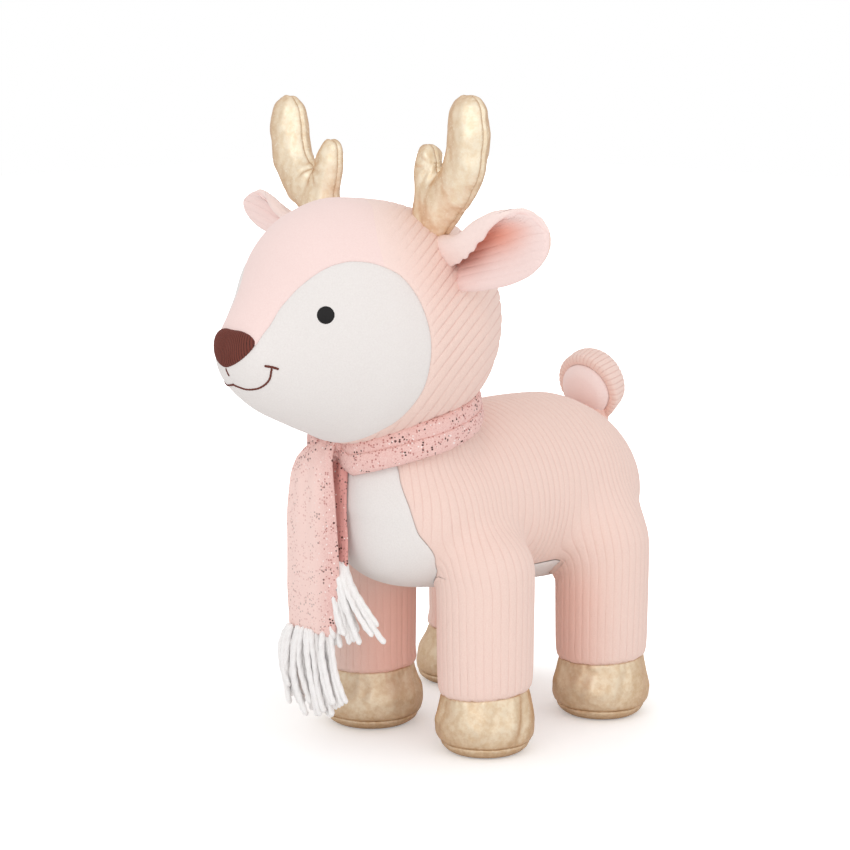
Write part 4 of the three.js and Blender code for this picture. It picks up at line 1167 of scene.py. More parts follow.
def makeMouth():
    def along(points, lift):
        spots = [frontAt(x, z) for x, z in points]
        return [p + n * lift for p, n in spots], [n for p, n in spots]
    def through(points, count=40):
        points = np.array(points, float)
        run = np.concatenate([[0], np.cumsum(np.hypot(*np.diff(points, axis=0).T))])
        at = np.linspace(0, run[-1], count)
        return list(zip(smoothCurve(run, points[:, 0])(at), smoothCurve(run, points[:, 1])(at)))
    side = mouth["smile"]
    smile = through([(-x, z) for x, z in side[:0:-1]] + side, 90)
    threads = [laidThread(*along(smile, 0.2), mouth["thread"], "smile")]
    for way in (-1, 1):
        bar = [(way * x, z) for x, z in through(mouth["bar"], 12)]
        threads.append(laidThread(*along(bar, 0.25), mouth["thread"] * 1.1, "bar"))
    drop = [(0, z) for z in np.linspace(mouth["drop"][0][1], mouth["drop"][1][1], 9)]
    threads.append(laidThread(*along(drop, 0.1), mouth["thread"] * 0.9, "drop"))
    whole = together(*threads)
    return headPiece(Cloth(whole.co, whole.no, whole.tri, rib=np.full(len(whole.co), 0.6)), "mouthThreads")


finished(makeMouth(), "brown_thread", ["mouth"], "head")
print("stage: face stitches")


ear = {
    "root": (48, -13, 229.5), "rise": {"left": 12.5, "right": 13.5}, "lean": 33, "thick": 4.2,
    "sweep": {"left": -0.075, "right": -0.16}, "reach": {"left": 0.955, "right": 1.0},
    "out": (-5, 0, 14, 29, 43.5, 55, 62.8, 66.5),
    "share": (-1, -0.8, -0.6, -0.4, -0.2, 0, 0.2, 0.4, 0.6, 0.8, 1),
    # up and forward of each share of the cloth: from the lower rim up the inside, over the
    # crest, and down the front to the free edge of the part that is folded over
    "net": (
        ((-12, 4), (-9.5, 4.2), (-6, 3), (-2, 0.5), (3, -2), (8, -3), (12, -2), (13, 0), (10, 2), (5, 3), (-0.6, 2.6)),
        ((-13.5, 4.4), (-10.5, 4.6), (-7, 3), (-2.5, 0.2), (3, -2.6), (8.5, -3.4), (12.6, -1.4), (13.8, 2.4), (10.8, 5.6), (5.2, 6.8), (-0.6, 6)),
        ((-14.8, 4.8), (-11.5, 4.4), (-7.5, 2.2), (-2.5, -0.8), (3.5, -3), (9, -3.4), (13.2, -1.2), (14.8, 2.8), (12.2, 6.6), (7, 8), (1.5, 7.2)),
        ((-15, 4.4), (-11.5, 3.2), (-7, 1), (-1.6, -1.2), (4, -2.8), (9.5, -3.2), (14, -1.6), (16.6, 1.4), (15.4, 4.6), (11.6, 6), (7.6, 5.6)),
        ((-13.6, 3.2), (-10, 1.6), (-5.6, 0), (-0.6, -1.4), (4.6, -2.4), (9.4, -2.8), (13.6, -2), (16.6, -0.2), (17.6, 2), (16.2, 3.6), (13.9, 4)),
        ((-9.8, 1), (-6.8, 0), (-3, -1), (1, -2), (5, -2.8), (8.6, -3.1), (11.8, -2.9), (14.2, -2.5), (15.9, -1.8), (17, -1), (17.5, 0)),
        ((-3.6, -1.8), (-1.8, -2.2), (0.4, -2.6), (2.6, -3), (4.8, -3.4), (6.8, -3.6), (8.6, -3.7), (10.2, -3.8), (11.5, -3.8), (12.5, -3.7), (13.2, -3.6)),
        ((4.2, -3.8),) * 11),
    "ribs": 3.9, "ribDeep": 0.36,
}


def earWays(side, name):
    rise, lean = math.radians(ear["rise"][name]), math.radians(ear["lean"])
    out = unit(np.array((math.cos(rise), ear["sweep"][name], math.sin(rise))))
    up = unit(np.array((-math.sin(lean), -0.07, math.cos(lean))))
    front = unit(np.cross(up, out))
    front = -front if front[1] > 0 else front
    return out, up, front


def makeEar(side, name):
    out, up, front = earWays(side, name)
    stations = np.arange(len(ear["out"]), dtype=float)
    shares = np.array(ear["share"])
    fineShare = np.linspace(-1, 1, 121)
    rows = 64
    last = stations[-1]
    fineStation = last * (1 - (1 - np.linspace(0, 1, rows)) ** 1.25)
    net = np.array([[smoothCurve(shares, [p[k] for p in row])(fineShare) for k in (0, 1)] for row in ear["net"]])
    places = np.stack([smoothCurve(stations, net[:, k, c])(fineStation)
                       for k in (0, 1) for c in range(len(fineShare))], axis=1).reshape(rows, 2, -1)
    outAt = smoothCurve(stations, ear["out"])(fineStation) * ear["reach"][name]
    # the root goes well into the head, so no gap opens behind it
    outAt -= 8 * (1 - eased(fineStation, 0, 1.2))
    u, f = places[:, 0], places[:, 1]
    if name == "right":
        # this one is pinched together at its root
        wider = eased(fineStation, 3, 5)[:, None]
        u = np.where(u > 0, u * (0.34 + 0.3 * wider), u * (0.5 + 0.1 * wider))
        f = f * 0.55
    else:
        # the crest dips just past the root
        dip = 0.45 * np.exp(-((fineStation - 1.7) / 0.9) ** 2)[:, None]
        u = np.where(u > 7, 7 + (u - 7) * (1 - dip), u)
    sheet = (np.array(ear["root"]) + outAt[:, None, None] * out + u[..., None] * up + f[..., None] * front)
    across = np.concatenate([np.zeros((rows, 1)), np.cumsum(np.hypot(np.diff(u, axis=1), np.diff(f, axis=1)), axis=1)], axis=1)
    across -= across[:, 48:49]
    # the ribs fan out over the crest, and the free edge is scalloped where they end
    fan = across + 0.9 * outAt[:, None] * eased(fineShare, 0.05, 0.6)[None] * eased(5.6 - fineStation, 0, 2)[:, None]
    rib = ribHeight(fan * corduroy["pitch"] / ear["ribs"])
    scallop = 0.5 * np.sin(fan * 1.25 * math.pi / ear["ribs"]) * eased(fineShare, 0.5, 1)[None]
    scallop = scallop * (eased(4.2 - fineStation, 0, 1.2) * eased(fineStation, 0.8, 1.8))[:, None]
    sheet = sheet + scallop[..., None] * unit(np.gradient(sheet, axis=1))
    along = np.gradient(sheet, axis=0)
    sideways = np.gradient(sheet, axis=1)
    along[-1] = along[-2]
    sideways[-1] = sideways[-2]
    normal = unit(np.cross(along, sideways))
    if (normal @ front).mean() < 0:
        normal = -normal
    edge = np.sqrt(np.clip(1 - np.abs(fineShare) ** 5, 0, 1))[None]
    tip = np.sqrt(np.clip(1 - (fineStation / last) ** 14, 0, 1))[:, None]
    half = ear["thick"] / 2 * edge * tip
    fade = eased(1 - np.abs(fineShare), 0.02, 0.1)[None] * eased(last - fineStation, 0.05, 0.7)[:, None]
    swell = (rib - 0.7) * ear["ribDeep"] * fade
    made = []
    for layer, way in (("lining", 1), ("back", -1)):
        co = (sheet + (way * (half + swell))[..., None] * normal).reshape(-1, 3)
        tri = gridFaces(rows, len(fineShare))
        flat = pointingOut(co, tri)
        if (flat * normal.reshape(-1, 3)).sum() * way < 0:
            tri = tri[:, ::-1]
        if side < 0:
            co, tri = co * (-1, 1, 1), tri[:, ::-1]
        ridges = (1 - (1 - rib) * fade * 0.5).reshape(-1)
        # painted shade: the lining is painted deeper and warmer in the fold, and the edge that is folded over is pale
        reach = (0.36 + 0.16 * eased(3 - fineStation, 0, 2))[:, None]
        deep = np.exp(-((fineShare[None] + 0.02) / reach) ** 2) * eased(6.2 - fineStation, 0, 3.0)[:, None]
        pale = eased(fineShare, 0.3, 0.6)[None] + 0 * fineStation[:, None]
        tint = ((-0.95 if side > 0 else -0.15) * deep if layer == "lining" else 0.9 * pale).reshape(-1)
        cloth = Cloth(co, pointingOut(co, tri), tri, rib=ridges, tint=tint)
        made.append(headPiece(cloth, "ear_" + layer + "_" + name))
    return made


for side, name in ((1, "left"), (-1, "right")):
    lining, back = makeEar(side, name)
    finished(lining, "smooth_pink", ["ear_lining_" + name], "ear_" + name)
    finished(back, "corduroy", ["ear_back_" + name], "ear_" + name)
print("stage: ears")


antler = {
    "flat": 0.74, "flatSmall": 0.86, "grain": 1.0, "fork": 3.5,
    "left": {
        "at": (27.7, -14.2, 248.6),
        "tall": [(0.4, -1, 22.4), (4.6, 3.6, 22), (12, 9.5, 21.4), (19.3, 17, 21.4), (24.3, 27, 21.8), (25.8, 37, 22), (25.6, 44.8, 20)],
        "small": [(1, 3, 15), (-1.6, 12, 14.6), (-2.6, 19.5, 14), (-2.4, 25.8, 12.6)]},
    "right": {
        "at": (38, -26, 244),
        "tall": [(0, -1, 20.7), (3.5, 5, 21.6), (9, 10, 21.6), (15.5, 15, 21.6), (22, 21.5, 21.8), (26.3, 30, 22), (28, 38, 22), (27.6, 45.2, 19.5)],
        "small": [(2.7, 3.8, 16), (-1, 15, 15.4), (-4.2, 24.5, 14), (-5.8, 31, 11)]},
}


def ballsAlong(places, count=40):
    places = np.array(places, float)
    run = np.concatenate([[0], np.cumsum(np.hypot(*np.diff(places[:, :2], axis=0).T))])
    at = np.linspace(0, run[-1], count)
    return np.stack([smoothCurve(run, places[:, k])(at) for k in range(3)], axis=1)


def ballsDistance(co, balls, flat):
    x = co[:, None, 0] - balls[None, :, 0]
    z = co[:, None, 2] - balls[None, :, 1]
    r = balls[None, :, 2] / 2
    far = np.sqrt((x ** 2 + z ** 2) / r ** 2 + (co[:, None, 1] / (r * flat)) ** 2)
    far = (far - 1) * r * (flat + (1 - flat) * 0.5)
    best = far.argmin(axis=1)
    k = np.arange(len(co))
    way = np.stack([x[k, best], co[:, 1] / flat ** 2, z[k, best]], axis=1)
    return far[k, best], unit(way)


def antlerDistance(co, tall, small):
    far, out = ballsDistance(co, tall, antler["flat"])
    other, way = ballsDistance(co, small, antler["flatSmall"])
    far, share = blended(far, other, antler["fork"])
    return far, out * (1 - share)[:, None] + way * share[:, None]


def makeAntler(side, name):
    parts = []
    shape = antler[name]
    tall, small = ballsAlong(shape["tall"]), ballsAlong(shape["small"], 24)
    for balls, flat in ((tall[::3], antler["flat"]), (small[::3], antler["flatSmall"])):
        for x, z, wide in balls:
            pickNone()
            bpy.ops.mesh.primitive_uv_sphere_add(segments=20, ring_count=12, radius=wide / 2 * mm,
                                                 location=(x * mm, 0, z * mm), scale=(1, flat, 1))
            parts.append(bpy.context.object)
    pick(*parts)
    bpy.ops.object.join()
    whole = bpy.context.object
    bpy.ops.object.transform_apply(location=True, rotation=True, scale=True)
    withModifier(whole, "REMESH", mode="VOXEL", voxel_size=antler["grain"] * mm)
    cloth = onto(clothFrom(whole), lambda co: antlerDistance(co, tall, small), rounds=2, relax=3)
    co, no = cloth.co, cloth.no
    cloth.values["seam"] = co[:, 1].copy()
    cloth = cutAlong(cloth, "seam", (-1.4, -0.6, -0.2, 0.2, 0.6, 1.4))
    co, no = cloth.co, cloth.no
    gap = np.abs(co[:, 1])
    # puckers run across the seam, and folds gather in the fork and at the foot
    ring = np.arctan2(co[:, 2] - 20, co[:, 0] - 12)
    away = co[:, [0, 2]] @ np.array([[0.6, 0.8], [0.8, -0.6]])
    pucker = np.sin(away[:, 0] * 2.3 + 2 * uneven(co, 14, 3)) * np.sin(away[:, 1] * 2.3 + 2 * uneven(co, 14, 6))
    pucker *= np.exp(-gap / 2.6) * (1 - np.exp(-gap / 0.5)) * (0.6 + 0.4 * uneven(co, 11, 9))
    dip = 0.85 * np.exp(-gap / 0.55) - 0.25 * np.exp(-((gap - 1.6) / 1.1) ** 2)
    fork = np.hypot(co[:, 0] - 3.5, co[:, 2] - 23)
    turn = np.arctan2(co[:, 2] - 23, co[:, 0] - 3.5)
    folds = np.sin(turn * 7 + 1.2 * uneven(co, 12, 2)) * np.exp(-((fork - 4) / 6) ** 2)
    foot = np.sin(2.2 * np.arctan2(co[:, 1], co[:, 0]) * 2.5 + uneven(co, 10, 12)) * np.exp(-((co[:, 2] - 1) / 5) ** 2)
    lumps = 0.35 * uneven(co, 15, 14 if side > 0 else 15) + 0.16 * uneven(co, 6, 16)
    height = -dip + 0.34 * pucker + 0.42 * folds + 0.3 * foot + lumps
    cloth.co = co + height[:, None] * no
    cloth.co = cloth.co + np.array(shape["at"])
    cloth.values = {}
    if side < 0:
        cloth.co, cloth.tri = cloth.co * (-1, 1, 1), cloth.tri[:, ::-1]
    print("stage: antler", len(cloth.tri))
    return headPiece(cloth, "antler_" + name)


for side, name in ((1, "left"), (-1, "right")):
    finished(makeAntler(side, name), "gold_foil_cloth", ["antler_" + name], "antler_" + name)
print("stage: antlers")


hoof = {
    "profile": [(0, 12.8), (0.25, 15.6), (1.2, 18), (3, 20.1), (5, 21.4), (7.4, 22.3), (10.5, 22.9), (14, 23),
                (18, 22.5), (22, 21.7), (25.5, 20.9), (27.8, 20.3), (28.6, 19.8), (29, 18.8)],
    "seam": 5.6, "rows": 64, "around": 160, "fuller": {"front_right": 0.075, "rear_left": 0.02, "rear_right": 0.06},
    "splay": {"rear_right": (-4.2, -2.2)},  # how far the foot stands outside its leg
    # which way the creases of each hoof face, degrees from the camera's side, and how deep they are
    "creases": {"front_left": ((6, 1.0), (20, 0.7), (47, 1.2), (-70, 0.5), (120, 0.6), (190, 0.6)),
                "front_right": ((-12, 0.5), (38, 0.7), (100, 0.6), (170, 0.5), (-80, 0.6)),
                "rear_left": ((-30, 0.5), (22, 0.7), (66, 0.5), (150, 0.7), (-110, 0.5)),
                "rear_right": ((0, 0.5), (60, 0.6), (130, 0.5), (-60, 0.5))},
}


def lathed(heights, radii, around, shape):
    turn = np.linspace(0, 2 * math.pi, around, endpoint=False)
    z, t = np.meshgrid(heights, turn, indexing="ij")
    r = np.repeat(np.array(radii)[:, None], around, axis=1)
    r = r + shape(z, t)
    co = np.stack([r * np.cos(t), r * np.sin(t), z], axis=-1).reshape(-1, 3)
    ends = np.array([(0, 0, heights[0]), (0, 0, heights[-1])])
    k = np.arange(around)
    rows = len(heights)
    tri = np.concatenate([gridFaces(rows, around, True),
                          np.stack([np.full(around, len(co)), (k + 1) % around, k], 1),
                          np.stack([np.full(around, len(co) + 1), (rows - 1) * around + k,
                                    (rows - 1) * around + (k + 1) % around], 1)])
    co = np.concatenate([co, ends])
    if volumeOf(co, tri) < 0:
        tri = tri[:, ::-1]
    return co, tri


def makeHoof(name):
    hip = hips[name]
    outline, fuller = smoothCurve(*zip(*hoof["profile"])), hoof["fuller"].get(name, 0)

    def radius(z):
        return outline(z) * (1 + fuller * eased(-z, -26, -16))

    away = math.radians(camera["azimuth"] - 90)
    seed = legNames.index(name) * 3 + 20

    def creases(z, t):
        total = np.zeros_like(z)
        for turn, deep in hoof["creases"][name]:
            way = math.radians(turn) + away + 0.012 * (z - 14)
            off = np.angle(np.exp(1j * (t - way))) * 23
            total -= deep * np.exp(-(off / 2.6) ** 2) * eased(z, 4, 13) * (1 - 0.6 * eased(z, 20, 28))
            total += 0.35 * deep * np.exp(-((np.abs(off) - 6) / 4) ** 2) * eased(z, 4, 13)
        seam = np.abs(z - hoof["seam"])
        total += 0.16 * np.sin(t * 41 + 3 * np.sin(t * 5)) * np.exp(-seam / 2.2)
        top = np.abs(z - 28)
        total += 0.14 * np.sin(t * 33 + 2 * np.sin(t * 4 + 1)) * np.exp(-top / 3)
        flat = np.stack([24 * np.cos(t), 24 * np.sin(t), z], axis=-1).reshape(-1, 3)
        total += (0.3 * uneven(flat, 17, seed) + 0.1 * uneven(flat, 6, seed + 1)).reshape(z.shape) * eased(z, 0.5, 5)
        return total

    low, high = hoof["seam"], 29.0
    top = np.concatenate([[low], low + np.array((0.15, 0.4, 0.8, 1.4)), np.linspace(low + 2.2, high - 1, hoof["rows"] - 16),
                          high - np.array((0.6, 0.3, 0.1, 0.0))])
    tuck = 1.3 * np.exp(-(top - low) / 0.55)
    co, tri = lathed(top, radius(top) - tuck, hoof["around"], creases)
    pieces = []
    bottom = np.concatenate([[0.0, 0.02, 0.1, 0.3, 0.7, 1.2, 1.8], np.linspace(2.3, low - 1.4, 8),
                             low - np.array((0.9, 0.5, 0.25, 0.1, 0.0))])
    sink = 1.5 * np.exp(-(low - bottom) / 0.6)
    below, under = lathed(bottom, radius(bottom) - sink - 0.25, hoof["around"], creases)
    for part, corners, faces in (("hoof_", co, tri), ("sole_", below, under)):
        corners = corners + (hip[0], hip[1], 0)
        corners[:, :2] += np.outer(1 - corners[:, 2] / high, hoof["splay"].get(name, (0, 0)))
        corners[:, 2] += hemTilt(corners, hip, hemTilts[name])
        # the hooves' duller crackled foil, and painted shade that darkens it towards the bottom
        crackleAndShade = -0.36 - 0.28 * eased(-corners[:, 2], -17, -3) - 0.1 * uneven(corners, 15, seed + 2)
        cloth = Cloth(corners, pointingOut(corners, faces), faces, tint=crackleAndShade)
        pieces.append(finished(pieceFrom(cloth, part + name), "gold_foil_cloth", [part + name], "leg_" + name))
    return pieces


for name in legNames:
    makeHoof(name)
print("stage: hooves")


# The tail is a puff of ribbed cloth with a smoother round face let into its front
tail = {
    "at": (0, 80, 154.2), "wide": 36, "tall": 36, "deep": 23, "lean": -12, "ribs": 40,
    "neck": (0, 78, 138),
}


def tailSurface():
    lean = math.radians(tail["lean"])
    turned = np.array([[1, 0, 0], [0, math.cos(lean), math.sin(lean)], [0, -math.sin(lean), math.cos(lean)]])
    around = tail["ribs"] * 8
    turn = np.linspace(0, 2 * math.pi, around, endpoint=False)[None]

    def surface(polar):
        # superellipse from front middle (0) over the rim to the back middle (pi)
        reach = np.sin(polar)
        depth = -np.cos(polar)
        pinch = 1 - 0.3 * eased(-np.sin(turn), 0.45, 1.0) * eased(polar, 0.5, 1.6)
        x = tail["wide"] / 2 * reach * np.cos(turn) * (1 - 0.16 * eased(-np.sin(turn), 0.2, 1.0))
        z = tail["tall"] / 2 * reach * np.sin(turn)
        y = tail["deep"] / 2 * depth * pinch
        return np.stack(np.broadcast_arrays(x, y, z), axis=-1)

    parts = {}
    # the round face sits low, so more of the ribbed cloth shows above it
    seam = 0.98 - 0.2 * np.sin(turn)
    for part, low, high, count in (("tail_front", 0.02, seam, 34), ("tail_back", seam, math.pi - 0.02, 84)):
        polar = low + (high - low) * np.linspace(0, 1, count)[:, None]
        co = surface(polar)
        gap = np.abs(polar - seam) * 14
        ribs = ribHeight(turn * tail["ribs"] / (2 * math.pi) * corduroy["pitch"])
        tall = 0.45 * eased(np.sin(polar), 0.25, 0.7)
        if part == "tail_back":
            swell = (ribs - 0.75) * tall * eased(gap, 0.2, 2) + 1.4 * np.exp(-((gap - 3.2) / 2.6) ** 2)
        else:
            swell = 0.9 * eased(gap, 0.5, 6) + 0 * turn + (ribs - 0.75) * 0.12 * eased(np.sin(polar), 0.4, 0.8)
            ribs = 0.75 + 0.25 * ribs
        swell = swell - 1.6 * np.exp(-gap / 0.8)
        tri = gridFaces(count, around, True)
        flat = co.reshape(-1, 3)
        middle = np.array([co[0].mean(0), co[-1].mean(0)]) if part == "tail_back" else np.array([co[0].mean(0)])
        k = np.arange(around)
        caps = [np.stack([np.full(around, len(flat)), (k + 1) % around, k], 1)]
        if part == "tail_back":
            caps = [np.stack([np.full(around, len(flat) + 1), (count - 1) * around + k, (count - 1) * around + (k + 1) % around], 1)]
        points = np.concatenate([flat, middle])
        tri = np.concatenate([tri, *caps])
        normal = pointingOut(points, tri)
        if (normal * (points - (0, 0, 0))).sum() < 0:
            tri = tri[:, ::-1]
            normal = -normal
        height = np.concatenate([(swell + 0 * co[..., 0]).reshape(-1), np.zeros(len(middle))])
        if part == "tail_front":
            height[-1] = 0.9
        else:
            height[-1] = 0.0
        points = points + height[:, None] * normal
        rib = np.concatenate([(ribs + 0 * co[..., 0]).reshape(-1), np.ones(len(middle))])
        points = points @ turned.T + np.array(tail["at"])
        cloth = Cloth(points, normal, tri, rib=rib, tint=np.full(len(points), 0.5 if part == "tail_front" else 0.1))
        parts[part] = cloth
    return parts


tailParts = tailSurface()
neckCo, neckTri = lathed(np.linspace(-9, 12, 16), 7.5 + 1.5 * np.cos(np.linspace(-9, 12, 16) / 6), 64,
                         lambda z, t: 0.25 * np.cos(t * 16))
neckCo = neckCo + np.array(tail["neck"])
stub = Cloth(neckCo, pointingOut(neckCo, neckTri), neckTri, rib=np.full(len(neckCo), 0.9))
back = tailParts["tail_back"]
both = together(back, stub)
both.values["rib"] = np.concatenate([back.values["rib"], stub.values["rib"]])
both.values["tint"] = np.where(np.arange(len(both.co)) < len(back.co), 0.1, -0.2)
finished(pieceFrom(both, "tail_back"), "corduroy", ["tail_back"], "tail")
finished(pieceFrom(tailParts["tail_front"], "tail_front"), "smooth_pink", ["tail_front"], "tail")
print("stage: tail")


scarf = {
    "neck": (0, -55), "inner": 31.2, "height": 139, "rise": 20, "thick": 1.3,
    # the folded band seen end on: out from the neck and up, from its free edge round to its tucked one
    "fold": [(4.6, 0.9), (4.9, -2.2), (4.5, -5.4), (2.9, -7.6), (0.9, -7.2), (0.3, -4.5), (0.2, 0), (0.3, 4.5),
             (0.9, 7.1), (2.4, 7.9), (3.6, 6.2), (3.9, 3.2), (3.5, 0.2), (3.0, -1.8)],
    "cut": 32,
    "frontEdges": {"z": (149, 147, 144, 140.5, 136, 126, 115, 90, 60, 56),
                   "left": (-17.5, -19, -21, -24.4, -28.4, -32.4, -33.6, -34.2, -34.3, -34.2),
                   "right": (-9.5, -8.5, -7.8, -7.2, -6.5, -5.0, -3.8, -2.3, -4.6, -5.2),
                   "y": (-84.5, -89.5, -93, -95.2, -96.2, -96.6, -96.8, -96.8, -96, -95.8)},
    "backEdges": {"z": (141, 136, 131, 120, 110, 95, 89),
                  "left": (-18, -20, -22, -23.5, -24, -23.5, -23),
                  "right": (-7, -5.6, -4.6, -3.6, -2.8, -1.6, -1.6),
                  "y": (-86, -87.5, -88.8, -90.2, -91, -91.2, -91)},
}


# A cloth strip with its two faces and rounded edges, from a grid of middle points
def thickened(sheet, thick, loop=False):
    rows, columns = sheet.shape[:2]
    if loop:
        along = np.roll(sheet, -1, 0) - np.roll(sheet, 1, 0)
    else:
        along = np.gradient(sheet, axis=0)
    across = np.gradient(sheet, axis=1)
    normal = unit(np.cross(along, across))
    way = unit(across)
    half = thick / 2
    near = sheet + half * normal
    far = sheet - half * normal
    first = sheet[:, :1] - way[:, :1] * half * 0.7
    final = sheet[:, -1:] + way[:, -1:] * half * 0.7
    ring = np.concatenate([first, near, final, far[:, ::-1]], axis=1)
    sides = ring.shape[1]
    co = ring.reshape(-1, 3)
    if loop:
        co = np.concatenate([co, ring[:1].reshape(-1, 3)])
        tri = gridFaces(rows + 1, sides, True)
        tri = tri % (rows * sides)
        co = co[:rows * sides]
    else:
        tri = gridFaces(rows, sides, True)
        for end in (0, rows - 1):
            base = end * sides
            for k in range(columns + 1):
                a, b = base + k, base + (k + 1)
                c, d = base + (sides - k) % sides, base + (sides - 1 - k)
                faces = [f for f in ((a, c, b), (b, c, d)) if len(set(f)) == 3]
                tri = np.concatenate([tri, np.array(faces if end == 0 else [f[::-1] for f in faces])])
    if volumeOf(co, tri) < 0:
        tri = tri[:, ::-1]
    return Cloth(co, pointingOut(co, tri), tri)


def makeLoop():
    around = 300
    turn = np.linspace(0, 2 * math.pi, around, endpoint=False)
    path = np.array(scarf["fold"])
    run = np.concatenate([[0], np.cumsum(np.hypot(*np.diff(path, axis=0).T))])
    at = np.linspace(0, run[-1], 54)
    out, up = smoothCurve(run, path[:, 0])(at), smoothCurve(run, path[:, 1])(at)
    middle = scarf["height"] + scarf["rise"] * np.sqrt((1 + np.sin(turn)) / 2)
    spot = np.stack([30 * np.cos(turn), 30 * np.sin(turn), 0 * turn], 1)
    # the two layers drift a little against each other on their way round
    loose = 0.7 * uneven(spot, 30, 31)[:, None] * eased(out, 0.5, 3)[None]
    drift = 0.8 * uneven(spot, 40, 32)[:, None] * np.array(out > 2.4)[None]
    ripple = 0.22 * np.sin(turn * 26 + 2 * np.sin(3 * turn))[:, None] * eased(np.abs(up), 2, 7)[None]
    r = scarf["inner"] + out[None] + loose + ripple
    z = middle[:, None] + up[None] + drift + 0.25 * uneven(spot, 14, 33)[:, None]
    sheet = np.stack([r * np.cos(turn)[:, None] + scarf["neck"][0], r * np.sin(turn)[:, None] + scarf["neck"][1], z], -1)
    return thickened(sheet, scarf["thick"], loop=True), run[-1], 2 * math.pi * (scarf["inner"] + 2.5)


def makeStrip(edges, bulge, seed, rows=110, columns=44):
    z = np.array(edges["z"], float)
    run = np.concatenate([[0], np.cumsum(np.hypot(np.diff(z), np.diff(edges["y"])))])
    at = np.linspace(0, run[-1], rows)
    v = {k: smoothCurve(run, edges[k])(at)[:, None] for k in ("z", "left", "right", "y")}
    u = np.linspace(-1, 1, columns)[None]
    x = v["left"] + (v["right"] - v["left"]) * (u + 1) / 2
    open_ = eased(at, 4, 26)[:, None]
    y = v["y"] - bulge * (1 - u ** 2) * (0.4 + 0.6 * open_) - 0.9 * (1 - open_) * np.cos(u * 7 + 0.6)
    y = y + 0.5 * open_ * np.cos(2.6 * math.pi * u + 0.6) * (0.5 + 0.5 * np.cos(at / 31)[:, None])
    y = y + 1.0 * eased(u, 0.72, 1.0)
    flat = np.stack(np.broadcast_arrays(x, 0 * x, v["z"]), -1)
    y = y + 0.35 * uneven(flat.reshape(-1, 3), 21, seed).reshape(y.shape)
    hem = np.exp(-((run[-1] - at) / 3.0))[:, None]
    z = v["z"] + 0.4 * hem * np.sin(u * 5 + 1)
    return thickened(np.stack(np.broadcast_arrays(x, y, z), -1), scarf["thick"] + 0.5), run[-1]


# The front end lies in the light and shows few of its dark flecks, the one behind it is in its shade
def shadeOf(cloth, left, right, low, high):
    side = (cloth.co[:, 0] - left) / (right - left)
    up = (cloth.co[:, 2] - low) / (high - low)
    return 0.9 * (1 - 1.1 * eased(side, 0.6, 0.97)) * (1 - 0.9 * eased(up, 0.72, 1))


# The knot: the band's end brought round over itself, folded into a small lump
knot = {"at": (-17.3, -88.0, 143.8), "size": (10.6, 6.2, 8.6)}


def makeKnot():
    pickNone()
    bpy.ops.mesh.primitive_uv_sphere_add(segments=96, ring_count=64, radius=mm)
    cloth = clothFrom(bpy.context.object)
    co = cloth.co
    ways = co.copy()
    squared = np.sign(ways) * np.abs(ways) ** 0.85
    across = ways @ unit(np.array((0.75, 0.1, 0.65)))
    dip = 0.0
    for at, deep, wide in ((-0.38, 2.2, 0.07), (0.12, 2.6, 0.06), (0.55, 1.6, 0.08)):
        dip = dip + deep * np.exp(-np.abs(across - at + 0.12 * ways[:, 0]) / wide)
    size = np.array(knot["size"])
    cloth.co = squared * size - (dip - 0.5)[:, None] * ways
    cloth.co = cloth.co + 0.35 * uneven(cloth.co, 9, 41)[:, None] * ways + np.array(knot["at"])
    return cloth


yarn = {
    "wide": 2.7, "twist": 6, "plies": 3,
    # screen-like paths: x and height at the start, half way and the end, and how far in front
    "front": [(-33.0, -38.4, -32.5, 22.5, 0.0), (-31.0, -35.9, -28.5, 19.5, 0.9), (-28.0, -31.0, -24.5, 20.5, -0.3),
              (-25.0, -26.0, -19.5, 20.0, 0.8), (-21.8, -20.6, -15.5, 23.0, -0.2), (-18.6, -16.4, -10.6, 22.5, 0.9),
              (-15.2, -12.0, -5.2, 18.0, -0.1), (-11.8, -6.8, -1.2, 23.0, 0.8), (-8.0, -3.0, 3.6, 26.0, 0.0),
              (-30.0, -33.0, -30.0, 25.0, 2.6), (-24.0, -22.5, -22.0, 17.0, 2.8), (-19.5, -17.5, -7.5, 21.0, 2.9),
              (-13.5, -12.5, -13.5, 19.0, 2.7), (-32.0, -37.4, -33.0, 27.0, -2.4), (-29.5, -34.0, -31.0, 19.5, -2.6),
              (-26.5, -29.0, -22.0, 18.0, -2.3), (-23.3, -23.5, -17.8, 22.0, -2.5), (-20.2, -18.2, -13.2, 17.0, -2.4),
              (-16.8, -14.0, -7.8, 20.0, -2.6), (-10.2, -9.5, -3.6, 24.5, -2.2), (-27.2, -34.0, -27.5, 22.0, 2.4),
              (-16.0, -20.5, -10.0, 18.5, 2.2), (-9.5, -10.5, -6.5, 27.0, 2.6)],
    "back": [(-4.4, 7.5, 26.0, 58.0, 0.0), (-6.6, 1.8, 13.6, 61.5, 0.6), (-8.6, -1.6, 8.4, 60.0, 0.1),
             (-10.8, -4.6, 3.6, 55.5, 0.8), (-13.2, -8.4, -3.2, 50.5, 0.2), (-16.0, -13.5, -9.0, 52.0, 0.7),
             (-19.0, -18.0, -15.0, 50.5, 0.2), (-21.5, -23.5, -22.0, 53.0, 0.6), (-5.5, 5.0, 20.0, 60.5, -2.2),
             (-7.6, 0.4, 11.0, 57.0, -2.4), (-9.8, -2.4, 5.4, 54.0, -2.1), (-12.0, -6.5, 0.4, 58.0, -2.3),
             (-14.6, -11.0, -5.0, 55.0, -2.2), (-6.2, 3.2, 16.8, 63.0, 2.6)],
}


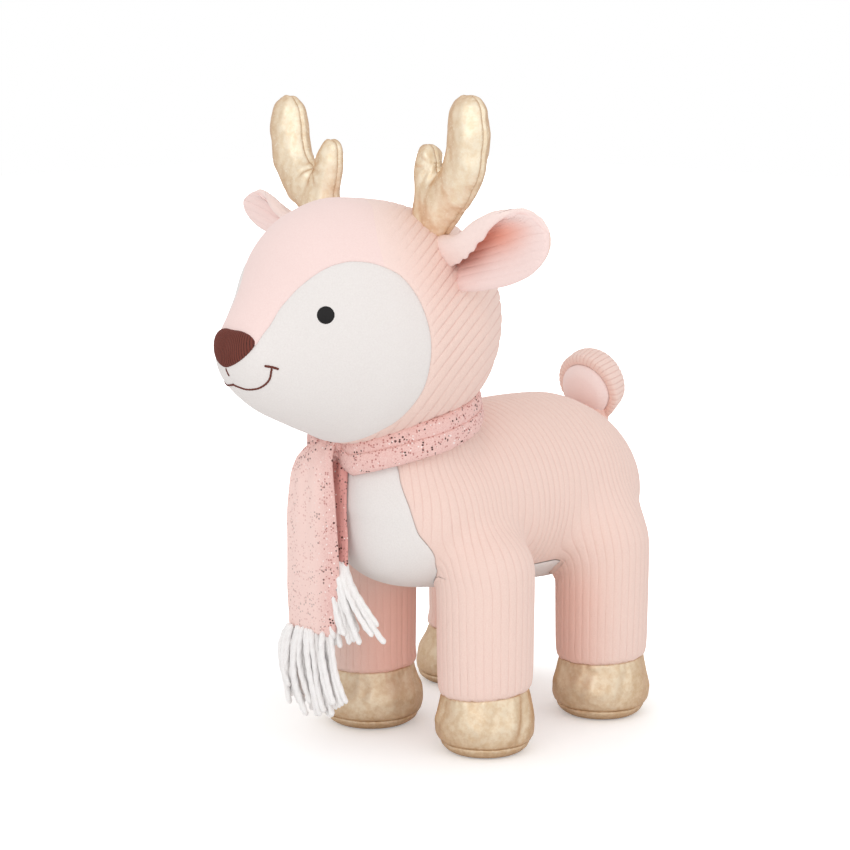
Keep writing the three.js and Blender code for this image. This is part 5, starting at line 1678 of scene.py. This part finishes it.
def strand(path, z, y, lean, seed):
    start, middle, end, low, forward = path
    t = np.linspace(0, 1, 30)
    x = (1 - t) ** 2 * start + 2 * t * (1 - t) * (2 * middle - (start + end) / 2) + t ** 2 * end
    heights = z + (low - z) * t
    depth = y + forward + lean * t ** 1.5 - 0.8 * np.sin(math.pi * t) + 0.4 * np.sin(5 * t + seed)
    return np.stack([x + 0.3 * np.sin(7 * t + seed), depth, heights], 1)


def makeFringe(paths, z, y, lean, name):
    strands = []
    # every second strand has a thinner one lying beside it
    paths = paths + [(start + 1.6, middle + 2.0, end + 2.6, low + 1.6 * math.sin(2 * k), forward - 0.9)
                     for k, (start, middle, end, low, forward) in enumerate(paths) if k % 2]
    for k, path in enumerate(paths):
        line = strand(path, z, y, lean, k * 1.7)
        strands.append(laidThread(line, np.repeat([(0.0, -1.0, 0.05)], len(line), axis=0),
                                  yarn["wide"] / 2 * (1 - 0.1 * (k % 3) / 2), name, step=0.45,
                                  twist=yarn["twist"], plies=yarn["plies"], deep=0.1, sides=18))
    return pieceFrom(together(*strands), name)


loop, loopCut, loopLong = makeLoop()
loopPiece = finished(pieceFrom(loop, "scarf_loop"), "glitter_cloth", ["scarf_loop"], "torso")
knotPiece = finished(pieceFrom(makeKnot(), "scarf_knot"), "glitter_cloth", ["scarf_knot"], "torso")
front, frontLong = makeStrip(scarf["frontEdges"], 1.6, 35)
back, backLong = makeStrip(scarf["backEdges"], 0.8, 36, 70, 34)
front.values["tint"] = shadeOf(front, -34, -3, 58, 149)
back.values["tint"] = np.full(len(back.co), -0.75)
frontPiece = finished(pieceFrom(front, "scarf_tail_front"), "glitter_cloth", ["scarf_tail_front"], "scarf_front")
backPiece = finished(pieceFrom(back, "scarf_tail_back"), "glitter_cloth", ["scarf_tail_back"], "scarf_back")
frontFringe = finished(makeFringe(yarn["front"], 58, -96.2, -0.5, "fringe_front"), "white_yarn", ["fringe_front"], "scarf_front")
backFringe = finished(makeFringe(yarn["back"], 91, -91.2, -2.5, "fringe_back"), "white_yarn", ["fringe_back"], "scarf_back")
print("stage: scarf")
